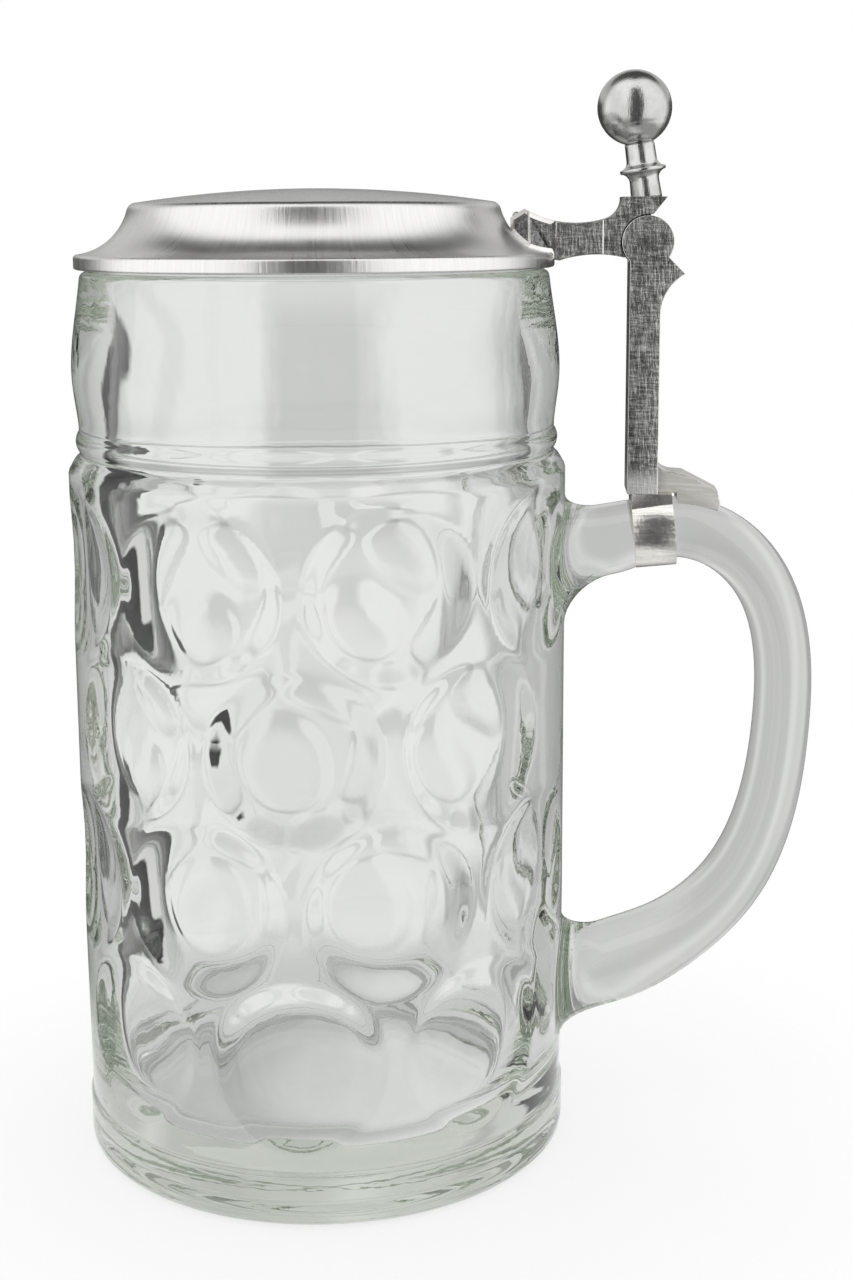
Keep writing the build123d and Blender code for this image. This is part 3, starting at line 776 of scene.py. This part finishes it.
# %% slide the wall's points round each root
ROOT_ROWS = 12
ROOT_REACH = 1.36
ROOT_COLUMNS = 12
UPPER_ROOT_Z = 136.8
LOWER_ROOT_Z = 36.6


def wall_row(z):
    """Number of the outer wall's row nearest to a height."""
    return WALL_FIRST_ROW + round((z - WALL_LOW_Z) / WALL_ROW)


def slide_round_root(mesh, root_z):
    """Slides the points round a root until one square ring of the grid is the root's oval."""
    centre = wall_row(root_z)
    rows, columns = math.floor(ROOT_REACH * ROOT_ROWS), math.floor(ROOT_REACH * ROOT_COLUMNS)
    for row in range(centre - rows, centre + rows + 1):
        for col in range(-columns, columns + 1):
            u = col / ROOT_COLUMNS
            v = (row - centre) / ROOT_ROWS
            square = max(abs(u), abs(v))
            if square == 0:
                continue
            share = min(max((ROOT_REACH - square) / (ROOT_REACH - 1), 0.0), 1.0)
            share = share * share * (3 - 2 * share)
            pull = 1 + share * (square / math.hypot(u, v) - 1)
            point = mesh.vertices[row * COLUMNS + col % COLUMNS]
            turn = math.radians(360 / COLUMNS) * col * pull
            radius = math.hypot(point.co.x, point.co.y)
            middle_z = WALL_LOW_Z + (centre - WALL_FIRST_ROW) * WALL_ROW
            z = (middle_z + (row - centre) * WALL_ROW * pull) * MM
            point.co = (radius * math.cos(turn), radius * math.sin(turn), z)


mug_mesh = grid_mesh("stein_glass", mug_outline, COLUMNS)
for root_height in (UPPER_ROOT_Z, LOWER_ROOT_Z):
    slide_round_root(mug_mesh, root_height)
mug = show(mug_mesh, GLASS)
print("mug grid:", len(mug_mesh.vertices), "points")

# %% [markdown]
# ## Dimples by rule
# The mould presses rounds into the wall in staggered rows: every second row has the same
# rounds, and each round also pushes a softer bump into the cavity. That is a rule, so
# Geometry Nodes make it. For every point of the wall the tree finds the nearest round of
# each of the two kinds of row, turns the distance into a depth, and moves the point
# towards the axis. Working from the distance, and not cutting with a tool, keeps the
# rows of the grid whole, and glass shows every broken row.

# %% distance to the nearest round
def long_side(tree, a, b):
    """The long side of a right triangle whose short sides are a and b."""
    squares = calc(tree, "ADD", calc(tree, "POWER", a, 2.0), calc(tree, "POWER", b, 2.0))
    return calc(tree, "SQRT", squares)


def whole_steps(tree, offset, step, last):
    """An offset in whole steps, from 0 to last."""
    number = calc(tree, "ROUND", calc(tree, "DIVIDE", offset, step))
    return calc(tree, "MINIMUM", calc(tree, "MAXIMUM", number, 0.0), last)


def nearest_round(tree, turn, z, radius, first_turn, last_step, top_z, given):
    """Distance along the wall to the nearest round of one kind of row."""
    from_first = calc(tree, "SUBTRACT", turn, first_turn)
    steps = whole_steps(tree, from_first, given["Turn step"], last_step)
    off_turn = calc(tree, "SUBTRACT", from_first, calc(tree, "MULTIPLY", steps, given["Turn step"]))
    two_rows = calc(tree, "MULTIPLY", given["Row step"], 2.0)
    rows = whole_steps(tree, calc(tree, "SUBTRACT", top_z, z), two_rows, 1.0)
    drop = calc(tree, "MULTIPLY", rows, two_rows)
    off_z = calc(tree, "SUBTRACT", calc(tree, "ADD", z, drop), top_z)
    off_side = calc(tree, "MULTIPLY", calc(tree, "RADIANS", off_turn), radius)
    return long_side(tree, off_side, off_z)


print("helpers for the dimples ready")


# %% dimple tree
def dimple_tree():
    """Presses the wall's rounds, and the softer bumps behind them."""
    length = "NodeSocketFloat"
    tree, start, out = group_tree(
        "pressed_dimples", "GeometryNodeTree",
        [("Wall", "NodeSocketGeometry", None), ("Top row height", length, 0.1),
         ("Row step", length, 0.03), ("Turn step", length, 43.0), ("First turn", length, 25.0),
         ("Dimple radius", length, 0.02), ("Dimple depth", length, 0.004),
         ("Dimple flatness", length, 3.0), ("Bump radius", length, 0.015),
         ("Bump depth", length, 0.002), ("Bump flatness", length, 2.0),
         ("Middle of wall", length, 0.05), ("Softness", length, 0.1),
         ("Glass", "NodeSocketMaterial", None)],
        [("Wall", "NodeSocketGeometry")])
    given = start.outputs
    place = add(tree, "GeometryNodeInputPosition").outputs[0]
    x, y, z = add(tree, "ShaderNodeSeparateXYZ", {0: place}).outputs
    radius = calc(tree, "MAXIMUM", long_side(tree, x, y), 1e-6)
    turn = calc(tree, "ABSOLUTE", calc(tree, "DEGREES", calc(tree, "ARCTAN2", y, x)))
    top_z = given["Top row height"]
    other_turn = calc(tree, "MULTIPLY_ADD", given["Turn step"], 0.5, given["First turn"])
    other_top = calc(tree, "SUBTRACT", top_z, given["Row step"])
    near = nearest_round(tree, turn, z, radius, given["First turn"], 3.0, top_z, given)
    far = nearest_round(tree, turn, z, radius, other_turn, 2.0, other_top, given)
    distance = calc(tree, "MINIMUM", near, far)
    outer = calc(tree, "GREATER_THAN", radius, given["Middle of wall"])
    size, depth, flatness = (
        blend(tree, outer, given["Bump " + word], given["Dimple " + word])
        for word in ("radius", "depth", "flatness")
    )
    share = calc(tree, "POWER", calc(tree, "DIVIDE", distance, size), flatness)
    inward = calc(tree, "SUBTRACT", 1.0, share)
    soft = long_side(tree, inward, given["Softness"])
    pressed = calc(tree, "MULTIPLY", calc(tree, "ADD", inward, soft), 0.5)
    pressed = calc(tree, "MULTIPLY", pressed, depth)
    ratio = calc(tree, "DIVIDE", calc(tree, "SUBTRACT", radius, pressed), radius)
    moved_x, moved_y = calc(tree, "MULTIPLY", x, ratio), calc(tree, "MULTIPLY", y, ratio)
    moved = add(tree, "ShaderNodeCombineXYZ", {0: moved_x, 1: moved_y, 2: z}).outputs[0]
    wall = add(tree, "GeometryNodeSetPosition", {"Geometry": given["Wall"], "Position": moved})
    finish_tree(tree, wall.outputs[0], given["Glass"], out)
    return tree


def run_tree(piece, tree, **values):
    """Gives a piece a Geometry Nodes tree with its values, and returns the plain mesh it makes."""
    modifier = piece.modifiers.new(tree.name, "NODES")
    sockets = {s.name: s.identifier for s in tree.interface.items_tree if s.in_out == "INPUT"}
    modifier.node_group = tree
    for name, value in values.items():
        modifier[sockets[name.replace("_", " ")]] = value
    return bake(piece, modifier)


DIMPLES = dimple_tree()
print("dimple tree has", len(DIMPLES.nodes), "nodes")

# %% press the dimples
pressed_wall = run_tree(
    mug, DIMPLES, Top_row_height=137.6 * MM, Row_step=33.7 * MM, Turn_step=43.0, First_turn=25.5,
    Dimple_radius=18.6 * MM, Dimple_depth=3.4 * MM, Dimple_flatness=2.4,
    Bump_radius=13.5 * MM, Bump_depth=1.8 * MM, Bump_flatness=2.0,
    Middle_of_wall=50.2 * MM, Softness=0.07, Glass=GLASS)
print("pressed wall:", len(pressed_wall.vertices), "points")

# %% [markdown]
# ## The handle
# The handle is pressed with the mug in one piece, so there is no seam: its skin runs into
# the wall in a hollow curve. The tube follows a smooth line through a few stations, each
# with its own half thickness and half width. At both ends, rings of points bridge from
# the oval left in the wall to the first ring of the tube. They leave the wall along the
# wall and arrive along the tube, so light runs over the join without a break.

# %% handle stations and rings
# x, z, half thickness and half width, in mm
STATIONS = (
    (65.0, 141.0, 8.1, 8.75),
    (76.0, 143.7, 7.1, 8.4),
    (89.5, 142.2, 6.8, 8.4),
    (100.6, 132.2, 6.5, 8.4),
    (105.8, 116.0, 6.4, 8.4),
    (106.0, 98.0, 6.5, 8.4),
    (103.3, 79.0, 6.8, 8.4),
    (95.6, 60.6, 7.4, 8.4),
    (81.5, 46.9, 8.5, 8.6),
    (67.5, 40.0, 9.7, 9.2),
)
TUBE_RINGS = 84
ROOT_RINGS = 9
FIRST_TURN_OUT = (1, 0.16, 0, 0)
LAST_TURN_IN = (-1, -0.36, 0, 0)

path = smooth(STATIONS, TUBE_RINGS, FIRST_TURN_OUT, LAST_TURN_IN)
path += [np.array(STATIONS[-1], float)]
print("handle path has", len(path), "rings")


# %% the wall's loops and the tube's rings
SIDEWAYS = np.array((0.0, 1.0, 0.0))


def root_loop(root_z):
    """Points of the wall's grid round a root, with the point just outside each and its turn."""
    centre = wall_row(root_z)
    across, up = ROOT_COLUMNS, ROOT_ROWS
    cells = [(col, up) for col in range(-across, across)]
    cells += [(across, row) for row in range(up, -up, -1)]
    cells += [(col, -up) for col in range(across, -across, -1)]
    cells += [(-across, row) for row in range(-up, up)]
    loop = []
    for col, row in cells:
        step_col = (col > 0) - (col < 0) if abs(col) == across else 0
        step_row = (row > 0) - (row < 0) if abs(row) == up else 0
        here = (centre + row) * COLUMNS + col % COLUMNS
        outside = (centre + row + step_row) * COLUMNS + (col + step_col) % COLUMNS
        loop.append((here, outside, math.atan2(row / up, col / across)))
    return loop


def tube_ring(station, heading, turns):
    """One ring of the tube: its width along Y, its thickness square to the path."""
    x, z, half_t, half_w = np.array(station) * MM
    centre = np.array((x, 0, z))
    normal = np.array((-heading[1], 0, heading[0]))
    return [centre + half_w * math.cos(t) * SIDEWAYS + half_t * math.sin(t) * normal for t in turns]


def bridge_point(start, leave, end, arrive, share):
    """A point of the smooth line that leaves start one way and arrives at end another way."""
    t = share
    return ((1 + 2 * t) * (1 - t)**2 * start + t * (1 - t)**2 * leave
            + t * t * (3 - 2 * t) * end + t * t * (t - 1) * arrive)


print("a root's loop has", len(root_loop(UPPER_ROOT_Z)), "points")


# %% join the handle to the wall
def match_turn(loop, turn):
    """Number of the loop's point that lies at a turn."""
    gaps = [abs(math.remainder(other - turn, 2 * math.pi)) for here, outside, other in loop]
    return gaps.index(min(gaps))


def root_rings(shape, grid, loop, order, ring, outward):
    """Rings that run from the wall's loop to the first ring of the tube."""
    stack = [[grid[loop[n][0]] for n in order]]
    for step in range(1, ROOT_RINGS):
        made = []
        for n, target in zip(order, ring):
            here = np.array(grid[loop[n][0]].co)
            leave = here - np.array(grid[loop[n][1]].co)
            leave /= np.linalg.norm(leave)
            gap = np.linalg.norm(target - here)
            spot = bridge_point(here, leave * gap, target, outward * gap, step / ROOT_RINGS)
            made.append(shape.verts.new(spot))
        stack.append(made)
    return stack


def inside_roots(grid):
    """The wall's points inside both loops, which the handle covers."""
    found = []
    for root_z in (UPPER_ROOT_Z, LOWER_ROOT_Z):
        centre = wall_row(root_z)
        for row in range(1 - ROOT_ROWS, ROOT_ROWS):
            for col in range(1 - ROOT_COLUMNS, ROOT_COLUMNS):
                found.append(grid[(centre + row) * COLUMNS + col % COLUMNS])
    return found


def join_handle(mesh):
    """Opens the wall at both roots and bridges it to the tube."""
    upper, lower = root_loop(UPPER_ROOT_Z), root_loop(LOWER_ROOT_Z)
    turns = [turn for here, outside, turn in upper]
    headings = np.gradient(np.array(path)[:, :2], axis=0)
    headings /= np.linalg.norm(headings, axis=1)[:, None]
    tube = [tube_ring(station, heading, turns) for station, heading in zip(path, headings)]
    first_out = np.array((headings[0][0], 0, headings[0][1]))
    last_out = -np.array((headings[-1][0], 0, headings[-1][1]))
    order = [match_turn(upper, turn) for turn in turns]
    mirrored_order = [match_turn(lower, -turn) for turn in turns]
    with editing(mesh) as shape:
        grid = list(shape.verts)
        chain = root_rings(shape, grid, upper, order, tube[0], first_out)
        chain += [[shape.verts.new(spot) for spot in ring] for ring in tube]
        chain += root_rings(shape, grid, lower, mirrored_order, tube[-1], last_out)[::-1]
        bmesh.ops.delete(shape, geom=inside_roots(grid), context="VERTS")
        for first, second in zip(chain, chain[1:]):
            for n in range(len(turns)):
                after = (n + 1) % len(turns)
                shape.faces.new((first[n], first[after], second[after], second[n]))


join_handle(pressed_wall)
pressed_wall.name = "stein_glass_skin"
mug.data = face_outwards(pressed_wall)
mug.data.materials.clear()
mug.data.materials.append(GLASS)
place_in_kit(mug, "mug", "clear_glass", "glass_mug")
print("glass piece:", len(mug.data.polygons), "faces")

# %% [markdown]
# ## The lid
# The lid is one disc of steel sheet, pressed into a shallow dome with a hollow-sided
# shoulder, and its brim is folded under into a hem. It is turned from one outline of both
# skins, so the sheet keeps its real thickness when the lid stands open.

# %% lid
SHEET = 0.9
LID_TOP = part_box("lid_shell")[1].z / MM
BRIM_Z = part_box("lid_shell")[0].z / MM
BRIM_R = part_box("lid_shell")[1].x / MM


def lid_outline():
    brim_top = BRIM_Z + 3.2
    outer = (
        arc((0, LID_TOP), (20.2, LID_TOP - 0.79), (39.4, 216.85), 26)
        + arc((39.4, 216.85), (40.8, 216.25), (41.45, 215.1), 6)
        + arc((41.45, 215.1), (45.0, 209.3), (52.6, brim_top), 24)
        + arc((52.6, brim_top), (53.15, brim_top - 0.25), (BRIM_R, brim_top - 0.8), 4)
        + run((BRIM_R, brim_top - 0.8), (BRIM_R, BRIM_Z + 0.5), 3)
        + arc((BRIM_R, BRIM_Z + 0.5), (BRIM_R - 0.15, BRIM_Z + 0.15), (BRIM_R - 0.5, BRIM_Z), 3)
        + run((BRIM_R - 0.5, BRIM_Z), (46.2, BRIM_Z), 4)
        + arc((46.2, BRIM_Z), (45.75, BRIM_Z + SHEET / 2), (46.2, BRIM_Z + SHEET), 4)
        + run((46.2, BRIM_Z + SHEET), (BRIM_R - SHEET - 0.4, BRIM_Z + SHEET), 4)
        + run((BRIM_R - SHEET - 0.4, BRIM_Z + SHEET), (BRIM_R - SHEET, BRIM_Z + SHEET + 0.4), 1)
        + run((BRIM_R - SHEET, BRIM_Z + SHEET + 0.4), (BRIM_R - SHEET, brim_top - SHEET - 0.5), 2)
        + run((BRIM_R - SHEET, brim_top - SHEET - 0.5), (52.1, brim_top - SHEET), 1)
    )
    inner = (
        arc((52.1, brim_top - SHEET), (44.4, 208.65), (40.6, 214.8), 20)
        + arc((40.6, 214.8), (40.2, 215.6), (39.2, 216.0), 4)
        + arc((39.2, 216.0), (20.1, LID_TOP - SHEET - 0.79), (0, LID_TOP - SHEET), 16)
    )
    return outer + inner + [np.array((0, LID_TOP - SHEET))]


lid = show(face_outwards(grid_mesh("lid_cap", lid_outline(), 256)), STEEL)
place_in_kit(lid, "lid", "lid_steel", "lid_shell")
print("lid faces:", len(lid.data.polygons))

# %% [markdown]
# ## Stem and ball
# The thumb rest is turned on a lathe: a slim stem with a collar, and a ball soldered on
# top. Both are outlines turned about the stem's own leaning axis. The ball keeps the
# faint line where its two halves meet.

# %% thumb rest
STEM_FOOT = Vector((73.5, 0, 217.6)) * MM
low_ball, high_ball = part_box("thumb_ball")
BALL_AT = (low_ball + high_ball) / 2
BALL_R = (high_ball.z - low_ball.z) / 2 / MM
lean = (BALL_AT - STEM_FOOT).normalized()
leaning = lean.to_track_quat("Z", "Y").to_matrix().to_4x4()
STEM_L = (BALL_AT - STEM_FOOT).length / MM


def turned_at(name, outline, at, material, steps):
    """A turned piece on the leaning axis, standing at a point."""
    mesh = grid_mesh(name, outline, steps)
    mesh.transform(Matrix.Translation(at) @ leaning)
    return show(face_outwards(mesh), material)


stem_outline = (
    run((0, -0.45), (3.45, -0.45), 3)
    + run((3.45, -0.45), (3.25, 3.4), 6)
    + arc((3.25, 3.4), (3.75, 4.9), (4.9, 5.5), 8)
    + arc((4.9, 5.5), (5.05, 5.9), (4.9, 6.3), 4)
    + arc((4.9, 6.3), (3.9, 6.75), (3.35, 7.9), 8)
    + run((3.35, 7.9), (3.25, STEM_L - 7.6), 6)
    + run((3.25, STEM_L - 7.6), (0, STEM_L - 7.6), 3)
    + [np.array((0, STEM_L - 7.6))]
)
PARTING_LINE = math.radians(-26)


def ball_outline():
    """A ball with one shallow line round it, below its middle."""
    points = []
    for angle in np.linspace(-math.pi / 2, math.pi / 2, 81):
        dip = 0.045 * math.exp(-((angle - PARTING_LINE) / math.radians(1.6))**2)
        radius = BALL_R - dip
        points.append(np.array((radius * max(math.cos(angle), 0), radius * math.sin(angle))))
    points[0][0] = points[-1][0] = 0
    return points


stem = turned_at("thumb_stem_turned", stem_outline, STEM_FOOT, POLISHED, 96)
ball = turned_at("thumb_ball_polished", ball_outline(), BALL_AT, POLISHED, 128)
for piece, node in ((stem, "thumb_stem"), (ball, "thumb_ball")):
    place_in_kit(piece, "lid", "polished_pewter", node)
print("ball radius in mm:", round(BALL_R, 2))

# %% [markdown]
# ## Cast pewter pieces
# The lever, the post, the band and the rest are cast and then worked by hand, and their
# shapes are right in the imported model. What a flat model lacks is edges: the buffing
# wheel rounds each of them and rubs it. So each piece starts as a copy of the model's
# part, its loose triangles are merged back into whole faces, and a bevel rounds the edges
# and gives them the rubbed finish, in a bright colour that is also a painted highlight.
# The lever's tongue and neck also get the slightly sunk side panels of a casting, and the
# tongue's panel is painted darker, as painted shade.

# %% rounded copies
SHARP = math.radians(28)
CREASE = math.radians(3)
FLAT = math.radians(0.6)
SAME_POINT = 0.002 * MM
low_plug, high_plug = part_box("hinge_plug_front")
PLUG_R = (high_plug.x - low_plug.x) / 2 / MM
PIN_SPOT = Vector(((low_plug.x + high_plug.x) / 2, 0, (low_plug.z + high_plug.z) / 2))
BORE_CLEAR = (PLUG_R + 0.3) * MM


def merged_copy(name, node):
    """A copy of a part of the model, with its triangles joined into whole flat faces."""
    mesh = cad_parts[node].data.copy()
    mesh.name = name
    with editing(mesh) as shape:
        bmesh.ops.remove_doubles(shape, verts=shape.verts, dist=SAME_POINT)
        bmesh.ops.dissolve_limit(shape, angle_limit=FLAT, verts=shape.verts, edges=shape.edges)
    return mesh


print("the plugs' radius is", round(PLUG_R, 2), "mm")

# %% edges to round, and the lever's panels
# A finished copy has three materials at most, in this order.
# the second material is the bright edge colour, a painted highlight; the third is the sunk panel's
# darker colour, painted shade
MAIN, WORN_HIGHLIGHT_INDEX, PANEL_SHADE_INDEX = range(3)
# the lever's tongue and neck: from x, to x, width of the rim, depth, material
SIDE_PANELS = (
    (30.0 * MM, 53.0 * MM, 0.9 * MM, 0.35 * MM, PANEL_SHADE_INDEX),
    (53.0 * MM, 64.5 * MM, 0.4 * MM, 0.10 * MM, MAIN),
)
SMALLEST_PANEL = (2 * MM)**2


def sink_panels(mesh):
    """Sinks the side faces of the lever's tongue and neck a little, inside rims of the bright edge
    colour, a painted highlight. The tongue's panels take the darker colour, painted shade.
    """
    with editing(mesh) as shape:
        for start_x, end_x, rim_width, sink, panel_material in SIDE_PANELS:
            sides = [
                face for face in shape.faces
                if abs(face.normal.y) > 0.6 and start_x < face.calc_center_median().x < end_x
                and face.calc_area() > SMALLEST_PANEL and face.material_index == MAIN
            ]
            rims = bmesh.ops.inset_individual(shape, faces=sides, thickness=rim_width, depth=-sink)
            for face in rims["faces"]:
                face.material_index = WORN_HIGHLIGHT_INDEX
            for face in sides:
                face.material_index = panel_material


def mark_edges(mesh):
    """Marks the edges to round: sharp ones and upright creases. The plugged bore's stay sharp."""
    with editing(mesh) as shape:
        weight = shape.edges.layers.float.new("bevel_weight_edge")
        for edge in shape.edges:
            turn = edge.calc_face_angle(0.0)
            middle = (edge.verts[0].co + edge.verts[1].co) / 2
            along = (edge.verts[1].co - edge.verts[0].co).normalized()
            sharp = turn > SHARP or (turn > CREASE and abs(along.z) > 0.98)
            in_bore = math.hypot(middle.x - PIN_SPOT.x, middle.z - PIN_SPOT.z) < BORE_CLEAR
            edge[weight] = 1.0 if sharp and not in_bore else 0.0
            edge.smooth = not (sharp and in_bore)


print("side panels:", len(SIDE_PANELS))


# %% round the cast pieces
def rounded(name, node, material, highlight_edge_material, width_mm):
    """A copy of a part with rounded, rubbed edges, coloured bright: wear, and a painted highlight.
    """
    mesh = merged_copy(name, node)
    mesh.shade_smooth()
    piece = show(mesh, material)
    mesh.materials.append(highlight_edge_material)
    if node == "lid_arm":
        mesh.materials.append(PANEL_SHADE)
        sink_panels(mesh)
    mark_edges(mesh)
    bevel = piece.modifiers.new("rounded edges", "BEVEL")
    bevel.width = width_mm * MM
    bevel.segments = 3
    bevel.limit_method = "WEIGHT"
    bevel.material = WORN_HIGHLIGHT_INDEX
    bevel.harden_normals = True
    piece.data = bake(piece, bevel)
    piece.data.name = name
    return piece


PEWTER_PIECES = (
    # name, node, body, slot, material, bevel width in mm
    ("lever_sanded", "lid_arm", "lid", "sanded_pewter", SANDED, 0.45),
    ("post_sanded", "hinge_post", "mug", "sanded_pewter", SANDED, 0.35),
    ("band_cast", "handle_band", "mug", "cast_pewter", CAST, 0.4),
    ("rest_cast", "handle_rest", "mug", "cast_pewter", CAST_SKIN, 0.6),
)
for name, node, body, slot, material, width in PEWTER_PIECES:
    piece = rounded(name, node, material, WORN_EDGE_HIGHLIGHT, width)
    place_in_kit(piece, body, slot, node)
    print(name, "faces:", len(piece.data.polygons))

# %% [markdown]
# ## Plugs and pin
# Two small plugs close the ends of the hinge's bore. They are the same turned button,
# once on each side, so a small Geometry Nodes tree places both from one outline. The
# steel pin between them is hidden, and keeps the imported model's own shape.

# %% plugs
PLUG_OUT = -low_plug.y
PLUG_LONG = (high_plug.y - low_plug.y) / MM


def pair_tree():
    """Stands the same button at both ends of the pin, facing out."""
    tree, start, out = group_tree(
        "button_pair", "GeometryNodeTree",
        [("Button", "NodeSocketGeometry", None), ("Pin centre", "NodeSocketVector", None),
         ("Half length", "NodeSocketFloat", 0.007), ("Finish", "NodeSocketMaterial", None)],
        [("Pair", "NodeSocketGeometry")])
    given = start.outputs
    reach, back = (
        add(tree, "ShaderNodeCombineXYZ", {1: calc(tree, "MULTIPLY", given["Half length"], times)})
        for times in (2.0, -1.0)
    )
    first = add(tree, "ShaderNodeVectorMath", {0: given["Pin centre"], 1: back.outputs[0]})
    line = add(tree, "GeometryNodeMeshLine",
               {"Count": 2, "Start Location": first.outputs[0], "Offset": reach.outputs[0]},
               mode="OFFSET")
    index = add(tree, "GeometryNodeInputIndex").outputs[0]
    tilt = calc(tree, "MULTIPLY_ADD", index, -math.pi, math.pi / 2)
    facing = add(tree, "ShaderNodeCombineXYZ", {0: tilt}).outputs[0]
    placed = add(tree, "GeometryNodeInstanceOnPoints",
                 {"Points": line.outputs[0], "Instance": given["Button"], "Rotation": facing})
    finish_tree(tree, placed.outputs[0], given["Finish"], out)
    return tree


button_outline = (
    run((0, -PLUG_LONG), (PLUG_R, -PLUG_LONG), 2)
    + run((PLUG_R, -PLUG_LONG), (PLUG_R, 0), 4)
    + run((PLUG_R, 0), (0, 0), 3)
    + [np.array((0, 0.0))]
)
plugs = show(face_outwards(grid_mesh("hinge_plugs", button_outline, 48)), SANDED)
both = run_tree(plugs, pair_tree(), Pin_centre=PIN_SPOT, Half_length=PLUG_OUT, Finish=SANDED)
plugs.data = face_outwards(both)
plugs.data.set_sharp_from_angle(angle=SHARP)
place_in_kit(plugs, "mug", "sanded_pewter", "hinge_plug_front", "hinge_plug_back")

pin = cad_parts["hinge_pin"]
pin.data.materials.clear()
pin.data.materials.append(PIN)
print("plugs faces:", len(plugs.data.polygons))
